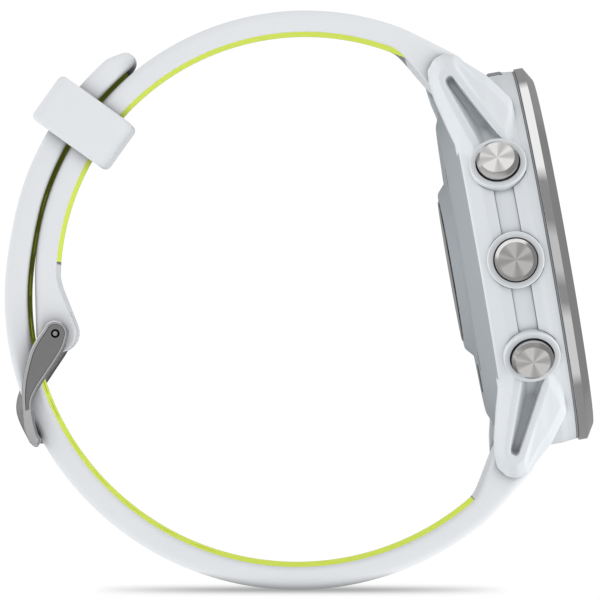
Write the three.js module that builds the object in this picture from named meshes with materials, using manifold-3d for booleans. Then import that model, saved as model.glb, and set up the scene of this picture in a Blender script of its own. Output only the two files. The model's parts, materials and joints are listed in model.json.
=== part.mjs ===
// A round gps running watch on its closed two-tone strap, modelled in millimetres with +Z up.
// The watch stands on its strap with the dial facing +X, tilted ten degrees up. +Y points to the 3 o'clock
// side, so the side with three buttons faces -Y. The origin is the centre of the flat sensor window.
//
// Two working frames are used:
//   case frame   x to 3 o'clock, y to 12 o'clock, z out of the dial, starting at the sensor window
//   loop frame   x and y are the row's X and Z from the middle of the strap loop, z runs across the strap

import * as THREE from 'three';
import { mergeVertices } from 'three/addons/utils/BufferGeometryUtils.js';
import Module from 'manifold-3d';

const wasm = await Module();
wasm.setup();

// ---------- driving dimensions ----------

const DIAL_TILT = 10;
const GAP = 0.1;
const FINE_GAP = 0.05;
const RING_SEGMENTS = 32;
const SMALL_SEGMENTS = 12;
const ROUND_SEGMENTS = 16;
const BODY_SEGMENTS = 48;

const CASE_RADIUS = 23.5;
const CAVITY_RADIUS = 19.9;
const CASE_FRONT_Z = 11.9;
const REAR_EDGE_Z = 2.9;
const REAR_LEDGE_Z = 3.1;
const REAR_RIM_Z = 2.45;
const REAR_RECESS_RADIUS = 20.75;
const REAR_FLAT_Z = 1.42;
const SIDE_CREASE_Z = 5.28;
const TOP_CREASE_Z = 10.75;

const BEZEL_BOTTOM_Z = 12.2;
const BEZEL_BAND_TOP_Z = 13.3;
const FRONT_Z = 14.3;
const BEZEL_FACE_RADIUS = 21.8;
const LENS_RADIUS = 20.6;
const LENS_THICKNESS = 1.4;
const LENS_SEAT_WIDTH = 0.7;
const GASKET_RADII = [20.3, 23.25];

const LUG_GAP = 22.3;
const LUG_INNER = LUG_GAP / 2;
const BAR_Y = 24.2;
const BAR_Z = 3.7;
const HUB_RADIUS = 2.6;
const POCKET_RADIUS = 2.75;
const SLOT_FLOOR = 12.7;
const SLOT_WALL_RADIUS = 21.3;

const BUTTON_Z = 7.72;
const BUTTON_ANGLE = 30.4;
const BOSS_RADIUS = 3.5;
const BOSS_FACE = 24;
const BUTTON_HOLE_RADIUS = 2.75;
const BUTTON_HOLE_FLOOR = 21.4;
const CAP_RADIUS = 2.62;
const CAP_FACE = 25.2;
const CAP_CHAMFER = 0.5;
const STEM_RADIUS = 1;
const STEM_END = 18.9;
const BUTTON_TRAVEL = 0.6;

const WINDOW_RADIUS = 8.8;
const WINDOW_THICKNESS = 0.9;
const WINDOW_LEDGE_RADIUS = 8;

const STRAP_WIDTH = 21.6;
const STRAP_END_WIDTH = 20;
const LINING_WIDTH = 20;
const LINING_THICKNESS = 0.6;
const UPPER_THICKNESS = 2.65;
const LOWER_THICKNESS = 2.85;
const LOOP_CENTRE = new THREE.Vector3(-18.73, 0, -3.55);

// The strap surfaces are circles close to the loop's middle, given by their wrist-side radius.
const UPPER_ARC = { x: 0.71, y: 2.28, radius: 30.92 };
const TAIL_ARC = { x: 0.71, y: 2.28, radius: 34.15 };
const LOWER_ARC = { x: -0.37, y: 0.34, radius: 33.38 };
const TAIL_BLEND = [157, 178];
const UPPER_HUB_ANGLE = 57;
const LOWER_HUB_ANGLE = 323.5;
const FLARE_ANGLE = 11.5;
const UPPER_END_ANGLE = 187.8;
const TAIL_TIP_ANGLE = 124.5;
const TAIL_CHAMFER_ANGLE = 128.5;

const HOLE_COUNT = 11;
const HOLE_PITCH_ANGLE = 9;
const FIRST_HOLE_ANGLE = 159;
const USED_HOLE = 4;
const HOLE_LENGTH_ANGLE = 4.5;
const USED_HOLE_LENGTH_ANGLE = 10.4;
const HOLE_WIDTH = 3;

const KEEPER_ANGLE = 144.4;
const KEEPER_INNER = 28.45;
const KEEPER_OUTER = 39.5;
const KEEPER_VOID = [30.3, 37.5];
const KEEPER_LENGTH = 6.6;
const KEEPER_WIDTH = 24.4;
const KEEPER_VOID_WIDTH = 21.2;

const PIN_RADIUS_FROM_CENTRE = 30.52;
const BUCKLE_BAR_RADIUS = 0.5;
const STRAP_BOSS_RADIUS = 2.45;
const PIN_FLARE_ANGLE = 175.5;
const ARM_INSIDE = 10.5;
const ARM_OUTSIDE = 12.2;
const ARM_HEAD_RADIUS = 1.65;
const CROSSBAR_INNER = 36.6;
const CROSSBAR_OUTER = 37.65;
const CROSSBAR_ANGLES = [204.4, 208.4];
const TONGUE_WIDTH = 2.6;
const TONGUE_HALF_THICKNESS = 0.5;
const TONGUE_EYE_RADIUS = 1.3;
const TONGUE_NOTCH_WIDTH = 3.2;

const SPRING_BAR_RADIUS = 0.85;
const TIP_RADIUS = 0.4;
const LUG_HOLE_RADIUS = 0.5;
const LUG_HOLE_DEPTH = 1.25;
const RELEASE_TRAVEL = 1.3;
const KNOB_SLOT_Z = [5.8, 9.3];

// ---------- geometry helpers ----------

const radians = THREE.MathUtils.degToRad;

/** Welds a geometry into an indexed triangle mesh without collapsed triangles. */
function weld(geometry) {
  const bare = geometry.clone();
  bare.deleteAttribute('normal');
  bare.deleteAttribute('uv');
  const welded = mergeVertices(bare, 1e-4);
  const kept = [];
  const index = welded.index.array;
  for (let i = 0; i < index.length; i += 3) {
    const [a, b, c] = [index[i], index[i + 1], index[i + 2]];
    if (a !== b && b !== c && c !== a) kept.push(a, b, c);
  }
  welded.setIndex(kept);
  return welded;
}

function toManifold(geometry) {
  const welded = weld(geometry);
  return new wasm.Manifold(new wasm.Mesh({
    numProp: 3,
    vertProperties: new Float32Array(welded.attributes.position.array),
    triVerts: new Uint32Array(welded.index.array),
  }));
}

function fromManifold(solid) {
  const mesh = solid.getMesh();
  const geometry = new THREE.BufferGeometry();
  geometry.setAttribute('position', new THREE.BufferAttribute(mesh.vertProperties, 3));
  geometry.setIndex(new THREE.BufferAttribute(mesh.triVerts, 1));
  return geometry;
}

const join = (...parts) => fromManifold(wasm.Manifold.union(parts.map(toManifold)));

const common = (a, b) => fromManifold(toManifold(a).intersect(toManifold(b)));

function cut(base, ...tools) {
  const removed = wasm.Manifold.union(tools.map(toManifold));
  return fromManifold(toManifold(base).subtract(removed));
}

/** A body of revolution about z. The profile of [radius, z] runs anticlockwise. */
function revolve(profile, segments = RING_SEGMENTS) {
  const points = profile.map(([radius, z]) => new THREE.Vector2(radius, z));
  return weld(new THREE.LatheGeometry(points, segments).rotateX(Math.PI / 2));
}

/** A ring of rectangular section about z. */
function ring(inner, outer, z0, z1, segments = RING_SEGMENTS) {
  return revolve([[inner, z0], [outer, z0], [outer, z1], [inner, z1], [inner, z0]], segments);
}

/** A solid round bar about z. */
function rod(radius, z0, z1, segments = SMALL_SEGMENTS) {
  return revolve([[0, z0], [radius, z0], [radius, z1], [0, z1]], segments);
}

/** A block given by its lowest and highest corner. */
function block([x0, y0, z0], [x1, y1, z1]) {
  const geometry = new THREE.BoxGeometry(x1 - x0, y1 - y0, z1 - z0);
  return geometry.translate((x0 + x1) / 2, (y0 + y1) / 2, (z0 + z1) / 2);
}

/** A flat outline of [x, y] points pulled along z. */
function prism(points, z0, z1) {
  const shape = new THREE.Shape(points.map(([x, y]) => new THREE.Vector2(x, y)));
  const geometry = new THREE.ExtrudeGeometry(shape, { depth: z1 - z0, bevelEnabled: false });
  return geometry.translate(0, 0, z0);
}

function roundedBlock(width, height, corner, z0, z1) {
  const [w, h] = [width / 2, height / 2];
  const shape = new THREE.Shape();
  shape.moveTo(-w + corner, -h);
  shape.lineTo(w - corner, -h);
  shape.absarc(w - corner, -h + corner, corner, -Math.PI / 2, 0);
  shape.absarc(w - corner, h - corner, corner, 0, Math.PI / 2);
  shape.absarc(-w + corner, h - corner, corner, Math.PI / 2, Math.PI);
  shape.absarc(-w + corner, -h + corner, corner, Math.PI, Math.PI * 1.5);
  const options = { depth: z1 - z0, bevelEnabled: false, curveSegments: 3 };
  return new THREE.ExtrudeGeometry(shape, options).translate(0, 0, z0);
}

/** Case frame: an outline of [y, z] points pulled along x. */
function sidePrism(points, x0, x1) {
  const turn = new THREE.Matrix4().makeBasis(
    new THREE.Vector3(0, 1, 0),
    new THREE.Vector3(0, 0, 1),
    new THREE.Vector3(1, 0, 0),
  );
  return prism(points, x0, x1).applyMatrix4(turn);
}

/** Turns a body made about z so that it lies along x, at a place in the y-z plane. */
function alongX(geometry, y, z) {
  return geometry.clone().rotateY(Math.PI / 2).translate(0, y, z);
}

/** The frame of a button: its z axis points outwards at the given clock angle. */
function radialMatrix(angle) {
  const outwards = new THREE.Vector3(Math.cos(radians(angle)), Math.sin(radians(angle)), 0);
  const axial = new THREE.Vector3(0, 0, 1);
  const sideways = new THREE.Vector3().crossVectors(axial, outwards);
  return new THREE.Matrix4().makeBasis(sideways, axial, outwards).setPosition(0, 0, BUTTON_Z);
}

/** Mirrors a case-frame body in x, y or both, keeping its faces outwards. */
function mirrored(geometry, signX, signY) {
  const copy = weld(geometry).scale(signX, signY, 1);
  if (signX * signY < 0) copy.index.array.reverse();
  return copy;
}

// ---------- materials ----------

const colours = {
  shell: 0xe6eaed,
  rear: 0xa9b1b8,
  titanium: 0xc8c9ca,
  strap: 0xe9eaec,
  lining: 0xd3e534,
  buckle: 0x8c8d8e,
  steel: 0xb9bbbd,
  glass: 0x14171a,
  sensor: 0x1d2226,
  seal: 0x3a3f44,
  board: 0x1f5a3c,
  battery: 0x9aa0a6,
  gold: 0xc9a24a,
  chassis: 0x4a4f55,
  display: 0x0b0d10,
};

function material(colour, roughness, metalness = 0) {
  return new THREE.MeshStandardMaterial({ color: colours[colour], roughness, metalness });
}

function part(name, geometry, colour, roughness = 0.6, metalness = 0) {
  const mesh = new THREE.Mesh(weld(geometry), material(colour, roughness, metalness));
  mesh.name = name;
  return mesh;
}

// ---------- case shell ----------

const BUTTONS = [
  { name: 'light', angle: 180 - BUTTON_ANGLE },
  { name: 'up', angle: 180 },
  { name: 'down', angle: 180 + BUTTON_ANGLE },
  { name: 'start', angle: BUTTON_ANGLE },
  { name: 'back', angle: -BUTTON_ANGLE },
];

const SCREW_SEAT_RADIUS = 16.2;
const SCREW_ANGLES = [45, 135, 225, 315];
const SCREW_PLACES = SCREW_ANGLES.map((angle) => [
  SCREW_SEAT_RADIUS * Math.cos(radians(angle)),
  SCREW_SEAT_RADIUS * Math.sin(radians(angle)),
]);
const SCREW_HEAD_RADIUS = 1.3;
const SCREW_SHANK_RADIUS = 0.6;
const SCREW_SEAT_Z = 2.2;
const SCREW_TOP_Z = 6;
const POST_RADIUS = 1.6;
const POST_TOP_Z = SCREW_TOP_Z + 0.8;
const RIB_HALF = 0.8;

const FLASHLIGHT_WIDTH = 9;
const FLASHLIGHT_Z = [8.8, 10.5];
const FLASHLIGHT_INSIDE = 21.2;
const FLASHLIGHT_FACE = 23.55;

/** One lug arm at 2 o'clock: the outline from the front, trimmed by the outline from the side. */
function lugArm() {
  const fromFront = prism([
    [LUG_INNER, 13], [19.4, 13], [14.3, 25.6], [13.3, 27], [LUG_INNER, 27],
  ], 0, CASE_FRONT_Z);
  const fromSide = sidePrism([
    [12, 10.7], [12, 3], [15.2, 3], [18.2, 2.27], [21.2, 1.53], [23.2, 1.24], [24.5, 1.26],
    [25.4, 1.68], [26.2, 2.4], [26.6, 3.4], [26.5, 4.4], [26.1, 5.2], [23, 8.45], [19.4, 10.45],
    [18, 11],
  ], 0, CASE_RADIUS);
  return common(fromFront, fromSide);
}

/** The tapered recess between the front and rear strut of a lug arm. */
function lugRecess() {
  const wedge = sidePrism([
    [14.2, 6.3], [22.9, 3.3], [23.5, 3.4], [23.9, 3.9], [23.7, 4.3], [15.4, 8.65], [14.2, 8.9],
  ], SLOT_FLOOR, CASE_RADIUS);
  return cut(wedge, rod(SLOT_WALL_RADIUS, 0, CASE_FRONT_Z, RING_SEGMENTS));
}

/** The pocket between two lugs where the strap end turns and leaves to the rear. */
function strapPocket() {
  const round = alongX(rod(POCKET_RADIUS, -LUG_INNER, LUG_INNER, ROUND_SEGMENTS), BAR_Y, BAR_Z);
  const exit = block([-LUG_INNER, BAR_Y - POCKET_RADIUS, -1], [LUG_INNER, BAR_Y + 4, BAR_Z]);
  const outside = block([-LUG_INNER, BAR_Y - 0.2, BAR_Z], [LUG_INNER, BAR_Y + 4, CASE_FRONT_Z]);
  return join(round, exit, outside);
}

/** The shallow channel that runs round the side between two button rings. */
function sideChannel() {
  const channel = revolve([
    [22.7, 6.72], [24.5, SIDE_CREASE_Z - 0.6], [24.5, TOP_CREASE_Z + 0.8], [22.7, 9], [22.7, 6.72],
  ]);
  const half = block([0, -BAR_Y / 2, 0], [BAR_Y * 2, BAR_Y / 2, CASE_FRONT_Z]);
  return common(channel, half);
}

function buttonBoss() {
  return revolve([
    [0, CAVITY_RADIUS - 2], [BOSS_RADIUS, CAVITY_RADIUS - 2], [BOSS_RADIUS, BOSS_FACE - 0.35],
    [BOSS_RADIUS - 0.35, BOSS_FACE], [0, BOSS_FACE],
  ], ROUND_SEGMENTS);
}

function buttonBore() {
  return revolve([
    [0, CAVITY_RADIUS - 3], [STEM_RADIUS + GAP, CAVITY_RADIUS - 3],
    [STEM_RADIUS + GAP, BUTTON_HOLE_FLOOR], [BUTTON_HOLE_RADIUS, BUTTON_HOLE_FLOOR],
    [BUTTON_HOLE_RADIUS, CAP_FACE + 1], [0, CAP_FACE + 1],
  ], ROUND_SEGMENTS);
}

function flashlightOpening(clearance) {
  const half = FLASHLIGHT_WIDTH / 2 + clearance;
  return block(
    [-half, FLASHLIGHT_INSIDE - 3, FLASHLIGHT_Z[0] - clearance],
    [half, CASE_RADIUS + 1, FLASHLIGHT_Z[1] + clearance],
  );
}

/** The ribs that tie the screw posts to the case wall. */
const postRibs = () => SCREW_ANGLES.map((angle) => (
  block([SCREW_SEAT_RADIUS, -RIB_HALF, REAR_LEDGE_Z], [CAVITY_RADIUS + 0.4, RIB_HALF, POST_TOP_Z])
    .rotateZ(radians(angle))
));

function caseBody() {
  const shell = revolve([
    [0, REAR_RIM_Z], [21.5, REAR_RIM_Z], [22.8, REAR_EDGE_Z], [23.4, SIDE_CREASE_Z],
    [CASE_RADIUS, TOP_CREASE_Z], [CASE_RADIUS, CASE_FRONT_Z], [0, CASE_FRONT_Z],
  ], BODY_SEGMENTS);
  const corners = [[1, 1], [-1, 1], [1, -1], [-1, -1]];
  const arms = corners.map(([x, y]) => mirrored(lugArm(), x, y));
  const recesses = corners.map(([x, y]) => mirrored(lugRecess(), x, y));
  const channels = [mirrored(sideChannel(), 1, 1), mirrored(sideChannel(), -1, 1)];
  const pockets = [mirrored(strapPocket(), 1, 1), mirrored(strapPocket(), 1, -1)];
  const trimmed = cut(join(shell, ...arms), ...recesses, ...channels, ...pockets);

  const bosses = BUTTONS.map(({ angle }) => buttonBoss().applyMatrix4(radialMatrix(angle)));
  const inside = join(
    rod(CAVITY_RADIUS, REAR_LEDGE_Z - 1, CASE_FRONT_Z + 1, RING_SEGMENTS),
    rod(REAR_RECESS_RADIUS, 0, REAR_LEDGE_Z, RING_SEGMENTS),
  );
  const hollow = cut(join(trimmed, ...bosses), inside);
  const posts = SCREW_PLACES.map(([x, y]) => (
    rod(POST_RADIUS, REAR_LEDGE_Z, POST_TOP_Z).translate(x, y, 0)
  ));

  const bores = BUTTONS.map(({ angle }) => buttonBore().applyMatrix4(radialMatrix(angle)));
  const screwHoles = SCREW_PLACES.map(([x, y]) => (
    rod(SCREW_SHANK_RADIUS + FINE_GAP, 0, SCREW_TOP_Z + 0.3).translate(x, y, 0)
  ));
  const tip = rod(LUG_HOLE_RADIUS, -LUG_INNER - LUG_HOLE_DEPTH, LUG_INNER + LUG_HOLE_DEPTH);
  const tipHoles = [alongX(tip, BAR_Y, BAR_Z), alongX(tip, -BAR_Y, BAR_Z)];
  return cut(
    join(hollow, ...posts, ...postRibs()),
    ...bores,
    ...screwHoles,
    ...tipHoles,
    flashlightOpening(FINE_GAP),
  );
}

// ---------- bezel, lens and rear cover ----------

function bezel() {
  const seat = LENS_RADIUS + GAP;
  const seatZ = FRONT_Z - LENS_THICKNESS - GAP;
  const ledge = LENS_RADIUS - LENS_SEAT_WIDTH;
  return revolve([
    [ledge, BEZEL_BOTTOM_Z], [CASE_RADIUS, BEZEL_BOTTOM_Z], [CASE_RADIUS, BEZEL_BAND_TOP_Z],
    [CASE_RADIUS - 0.15, BEZEL_BAND_TOP_Z + 0.05], [BEZEL_FACE_RADIUS, FRONT_Z], [seat, FRONT_Z],
    [seat, seatZ], [ledge, seatZ], [ledge, BEZEL_BOTTOM_Z],
  ], BODY_SEGMENTS);
}

const bezelGasket = () => ring(...GASKET_RADII, CASE_FRONT_Z + FINE_GAP, BEZEL_BOTTOM_Z - FINE_GAP);

function lens() {
  return revolve([
    [0, FRONT_Z - LENS_THICKNESS], [LENS_RADIUS, FRONT_Z - LENS_THICKNESS],
    [LENS_RADIUS, FRONT_Z - 0.2], [LENS_RADIUS - 0.2, FRONT_Z], [0, FRONT_Z],
  ]);
}

const PORT_Y = -13.8;
const PORT_WIDTH = 8;
const PORT_HEIGHT = 3.4;
const PORT_TOP_Z = 2.9;
const CONTACT_PITCH = 1.8;
const CONTACT_RADIUS = 0.55;
const SEAL_BOTTOM_Z = 2.7;

function rearCover() {
  const dish = revolve([
    [WINDOW_LEDGE_RADIUS, WINDOW_THICKNESS + GAP], [WINDOW_RADIUS + GAP, WINDOW_THICKNESS + GAP],
    [WINDOW_RADIUS + GAP, 0.05], [9.3, 0.05], [9.75, 0.25], [10.9, REAR_FLAT_Z - 0.04],
    [17.9, REAR_FLAT_Z], [REAR_RECESS_RADIUS - 0.15, REAR_RIM_Z - 0.05],
    [REAR_RECESS_RADIUS - 0.15, SEAL_BOTTOM_Z], [CAVITY_RADIUS - 0.1, SEAL_BOTTOM_Z],
    [CAVITY_RADIUS - 0.1, REAR_LEDGE_Z - 0.1], [9.3, REAR_LEDGE_Z - 0.1],
    [9.3, 1.6], [WINDOW_LEDGE_RADIUS, 1.6], [WINDOW_LEDGE_RADIUS, WINDOW_THICKNESS + GAP],
  ]);
  const seats = SCREW_PLACES.map(([x, y]) => (
    rod(SCREW_HEAD_RADIUS + GAP, 0, SCREW_SEAT_Z).translate(x, y, 0)
  ));
  const holes = SCREW_PLACES.map(([x, y]) => (
    rod(SCREW_SHANK_RADIUS + FINE_GAP, 0, REAR_LEDGE_Z + 1).translate(x, y, 0)
  ));
  const port = roundedBlock(PORT_WIDTH + GAP, PORT_HEIGHT + GAP, 0.9, 0, REAR_LEDGE_Z + 1);
  return cut(dish, ...seats, ...holes, port.translate(0, PORT_Y, 0));
}

function rearSeal() {
  return ring(
    CAVITY_RADIUS, REAR_RECESS_RADIUS - 0.2, SEAL_BOTTOM_Z + FINE_GAP, REAR_LEDGE_Z - FINE_GAP,
  );
}

function screw() {
  const head = rod(SCREW_HEAD_RADIUS, REAR_FLAT_Z + 0.1, SCREW_SEAT_Z - FINE_GAP);
  const shank = rod(SCREW_SHANK_RADIUS, SCREW_SEAT_Z - 0.1, SCREW_TOP_Z);
  const socket = rod(0.6, 0, REAR_FLAT_Z + 0.5, 6);
  return cut(join(head, shank), socket);
}

const contactX = (index) => (index - 1.5) * CONTACT_PITCH;

function chargePort() {
  const holes = [0, 1, 2, 3].map((index) => (
    rod(CONTACT_RADIUS + FINE_GAP, 0, 5).translate(contactX(index), 0, 0)
  ));
  const insulator = roundedBlock(PORT_WIDTH, PORT_HEIGHT, 0.85, REAR_FLAT_Z, PORT_TOP_Z);
  return cut(insulator, ...holes).translate(0, PORT_Y, 0);
}

// ---------- electronics inside ----------

const MAIN_BOARD = { radius: 18.9, halfWidth: 16.5, z: [9.1, 9.8] };
const ANTENNA = { inner: 18.6, outer: 19.6, endY: 10, z: [9.95, 11.2] };
const BATTERY = { width: 22, height: 20, corner: 2.5, z: [3.9, 8.7] };
const SPEAKER = { width: 9, height: 5, corner: 1, y: -14.9, z: [4, 6.6] };
const MOTOR = { radius: 3.6, y: 14.8, z: [4.2, 7] };
const VENT = { radius: 1.6, x: -8.5, y: -14.2, z: [3.2, 3.7] };
const SENSOR_BOARD = { radius: 8.8, z: [1.7, 2.5] };
const DISPLAY_PANEL = { radius: 19.6, z: [11.85, 12.75] };
const DISPLAY_FRAME = { inner: 12, outer: 19.7, z: [11.3, 11.75] };

/** A round board with flats where the button switches stand. */
function mainBoard() {
  const { radius, halfWidth, z: [z0, z1] } = MAIN_BOARD;
  const between = block([-halfWidth, -radius, z0], [halfWidth, radius, z1]);
  return common(rod(radius, z0, z1, RING_SEGMENTS), between);
}

/** An open ring round the board; its gap is at 12 o'clock. */
function gpsAntenna() {
  const { inner, outer, endY, z: [z0, z1] } = ANTENNA;
  return common(ring(inner, outer, z0, z1), block([-outer, -outer, z0], [outer, endY, z1]));
}

const displayFrame = () => ring(DISPLAY_FRAME.inner, DISPLAY_FRAME.outer, ...DISPLAY_FRAME.z);

const battery = () => roundedBlock(BATTERY.width, BATTERY.height, BATTERY.corner, ...BATTERY.z);

function speaker() {
  const body = roundedBlock(SPEAKER.width, SPEAKER.height, SPEAKER.corner, ...SPEAKER.z);
  return body.translate(0, SPEAKER.y, 0);
}

const vibrationMotor = () => rod(MOTOR.radius, ...MOTOR.z, ROUND_SEGMENTS).translate(0, MOTOR.y, 0);

const pressureVent = () => rod(VENT.radius, ...VENT.z).translate(VENT.x, VENT.y, 0);

// ---------- buttons ----------

/** A button cap with its stem, drawn in the button's own frame. */
function buttonCap() {
  const shoulder = BUTTON_HOLE_FLOOR + BUTTON_TRAVEL + GAP;
  return revolve([
    [0, STEM_END], [STEM_RADIUS - FINE_GAP, STEM_END], [STEM_RADIUS - FINE_GAP, shoulder],
    [CAP_RADIUS, shoulder], [CAP_RADIUS, CAP_FACE - CAP_CHAMFER], [CAP_RADIUS - CAP_CHAMFER, CAP_FACE],
    [0, CAP_FACE],
  ], ROUND_SEGMENTS);
}

const BUTTON_SEAL_REACH = [19.1, 19.55];
const BUTTON_SEAL_WIDTH = 0.6;
const SWITCH_HALF = [1.8, 1.3];
const SWITCH_BACK = 16.9;

/** The seal pressed against the case wall round the stem inside the case. */
function buttonSeal() {
  const inner = STEM_RADIUS + GAP;
  return ring(inner, inner + BUTTON_SEAL_WIDTH, ...BUTTON_SEAL_REACH, SMALL_SEGMENTS);
}

function buttonSwitch() {
  const [x, y] = SWITCH_HALF;
  return block([-x, -y, SWITCH_BACK], [x, y, STEM_END - BUTTON_TRAVEL - GAP]);
}

function buttonParts({ name, angle }) {
  const group = new THREE.Group();
  group.applyMatrix4(radialMatrix(angle));
  group.add(
    part(`${name}_button_cap`, buttonCap(), 'titanium', 0.3, 1),
    part(`${name}_button_seal`, buttonSeal(), 'seal', 0.9),
    part(`${name}_button_switch`, buttonSwitch(), 'chassis', 0.6),
  );
  return group;
}

// ---------- strap ----------

const polar = (angle, radius) => [
  radius * Math.cos(radians(angle)),
  radius * Math.sin(radians(angle)),
];

/** Distance from the loop's middle to a circle, along the ray at an angle. */
function arcRadius(arc, angle) {
  const [dx, dy] = polar(angle, 1);
  const along = arc.x * dx + arc.y * dy;
  return along + Math.sqrt(arc.radius ** 2 - arc.x ** 2 - arc.y ** 2 + along ** 2);
}

const upperRadius = (angle) => arcRadius(UPPER_ARC, angle);

/** The lower strap lies on its own circle and eases on to the tail circle near the keeper. */
function lowerRadius(angle) {
  const share = THREE.MathUtils.smoothstep(angle, ...TAIL_BLEND);
  return THREE.MathUtils.lerp(arcRadius(TAIL_ARC, angle), arcRadius(LOWER_ARC, angle), share);
}

function angles(from, to, step) {
  const count = Math.ceil(Math.abs(to - from) / step);
  return Array.from({ length: count + 1 }, (_, i) => from + ((to - from) * i) / count);
}

/** A curved band between two offsets from a surface, pulled across the strap. */
function band(surface, offsets, stations, width) {
  const inner = stations.map((angle) => polar(angle, surface(angle) + offsets[0]));
  const outer = stations.map((angle) => polar(angle, surface(angle) + offsets[1]));
  return prism([...inner, ...outer.reverse()], -width / 2, width / 2);
}

const hubCentre = (sign) => {
  const tilt = radians(DIAL_TILT);
  const x = BAR_Z * Math.cos(tilt) - sign * BAR_Y * Math.sin(tilt) - LOOP_CENTRE.x;
  const y = BAR_Z * Math.sin(tilt) + sign * BAR_Y * Math.cos(tilt) - LOOP_CENTRE.z;
  return new THREE.Vector2(x, y);
};

const UPPER_HUB = hubCentre(1);
const LOWER_HUB = hubCentre(-1);
const BUCKLE_PIN = new THREE.Vector2(...polar(UPPER_END_ANGLE, PIN_RADIUS_FROM_CENTRE));

/** The point where a straight line from a point touches a circle, on the left or right side. */
function tangentPoint(point, centre, radius, side) {
  const toCentre = centre.clone().sub(point);
  const half = Math.asin(radius / toCentre.length());
  const reach = Math.sqrt(toCentre.lengthSq() - radius ** 2);
  return toCentre.rotateAround(new THREE.Vector2(), side * half).setLength(reach).add(point);
}

/** A thickened strap end: a round hub about a bar and the flare that leads into it. */
function strapEnd(surface, thickness, hub, radius, flareAngle) {
  const inner = new THREE.Vector2(...polar(flareAngle, surface(flareAngle)));
  const outer = new THREE.Vector2(...polar(flareAngle, surface(flareAngle) + thickness));
  const side = Math.sign(inner.clone().sub(outer).cross(hub.clone().sub(outer)));
  const corners = [
    inner,
    tangentPoint(inner, hub, radius, -side),
    tangentPoint(outer, hub, radius, side),
    outer,
  ];
  const flare = prism(corners.map((corner) => corner.toArray()), -STRAP_WIDTH / 2, STRAP_WIDTH / 2);
  const round = rod(radius, -STRAP_WIDTH / 2, STRAP_WIDTH / 2, ROUND_SEGMENTS);
  return join(flare, round.translate(hub.x, hub.y, 0));
}

/** A body about the spring bar or buckle pin axis. */
const about = (geometry, centre) => geometry.clone().translate(centre.x, centre.y, 0);

/** The slot through which a finger reaches the quick release knob. */
function knobSlot(hub) {
  const towardsWrist = Math.atan2(-hub.y, -hub.x);
  const slot = block([0, -0.75, KNOB_SLOT_Z[0]], [HUB_RADIUS + 1, 0.75, KNOB_SLOT_Z[1]]);
  return about(slot.rotateZ(towardsWrist), hub);
}

/** Narrows a strap from the lug width to the buckle width, and rounds the tail's tip. */
function taper(geometry, hubAngle, endAngle) {
  const tapered = weld(geometry);
  const position = tapered.attributes.position;
  for (let i = 0; i < position.count; i += 1) {
    const angle = THREE.MathUtils.radToDeg(Math.atan2(position.getY(i), position.getX(i)));
    const turned = (angle + 360) % 360;
    const start = hubAngle + Math.sign(endAngle - hubAngle) * FLARE_ANGLE;
    const share = THREE.MathUtils.clamp((turned - start) / (endAngle - start), 0, 1);
    const end = STRAP_END_WIDTH / STRAP_WIDTH;
    const tip = THREE.MathUtils.clamp((turned - TAIL_TIP_ANGLE) / 7, 0, 1);
    const rounding = hubAngle === LOWER_HUB_ANGLE ? 0.55 + 0.45 * Math.sqrt(1 - (1 - tip) ** 2) : 1;
    position.setZ(i, position.getZ(i) * THREE.MathUtils.lerp(1, end, share) * rounding);
  }
  return tapered;
}

const UPPER_FLARE = UPPER_HUB_ANGLE + FLARE_ANGLE;
const LOWER_FLARE = LOWER_HUB_ANGLE - FLARE_ANGLE;
const UPPER_STATIONS = angles(UPPER_FLARE - 3, UPPER_END_ANGLE - 2, 4.5);
const LOWER_STATIONS = angles(LOWER_FLARE + 3, TAIL_TIP_ANGLE, 3.6);
const UPPER_LINING_STATIONS = UPPER_STATIONS.slice(1, -3);
const LOWER_LINING_STATIONS = LOWER_STATIONS.slice(2, -1);

/** The recess of a lining: the lining's own stations with a little room at both ends. */
function recessStations(stations) {
  const [from, to] = [stations[0], stations[stations.length - 1]];
  const grow = 0.15 * Math.sign(to - from);
  return [from - grow, ...stations, to + grow];
}

function upperStrap() {
  const body = band(upperRadius, [0, UPPER_THICKNESS], UPPER_STATIONS, STRAP_WIDTH);
  const end = strapEnd(upperRadius, UPPER_THICKNESS, UPPER_HUB, HUB_RADIUS, UPPER_FLARE);
  const pinEnd = strapEnd(upperRadius, UPPER_THICKNESS, BUCKLE_PIN, STRAP_BOSS_RADIUS, PIN_FLARE_ANGLE);
  const recessDepth = [-1, LINING_THICKNESS + FINE_GAP];
  const recess = band(
    upperRadius, recessDepth, recessStations(UPPER_LINING_STATIONS), LINING_WIDTH + 2 * GAP,
  );
  const notchHalf = TONGUE_NOTCH_WIDTH / 2;
  const notch = block([-6, -4, -notchHalf], [6, 2.4, notchHalf]).rotateZ(radians(UPPER_END_ANGLE - 180));
  const cutBody = cut(
    join(body, pinEnd, end),
    recess,
    about(rod(SPRING_BAR_RADIUS + GAP, -STRAP_WIDTH, STRAP_WIDTH), UPPER_HUB),
    about(rod(BUCKLE_BAR_RADIUS + GAP, -STRAP_WIDTH, STRAP_WIDTH), BUCKLE_PIN),
    about(notch, BUCKLE_PIN),
    knobSlot(UPPER_HUB),
  );
  return taper(cutBody, UPPER_HUB_ANGLE, UPPER_END_ANGLE);
}

/** One adjustment hole, cut through the strap and its lining. */
function adjustmentHole(angle, lengthAngle) {
  const [from, to] = [angle - lengthAngle / 2, angle + lengthAngle / 2];
  return band(lowerRadius, [-2, LOWER_THICKNESS + 2], [from, to], HOLE_WIDTH);
}

const adjustmentHoles = () => Array.from({ length: HOLE_COUNT }, (_, index) => (
  adjustmentHole(
    FIRST_HOLE_ANGLE + index * HOLE_PITCH_ANGLE,
    index === USED_HOLE ? USED_HOLE_LENGTH_ANGLE : HOLE_LENGTH_ANGLE,
  )
));

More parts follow.
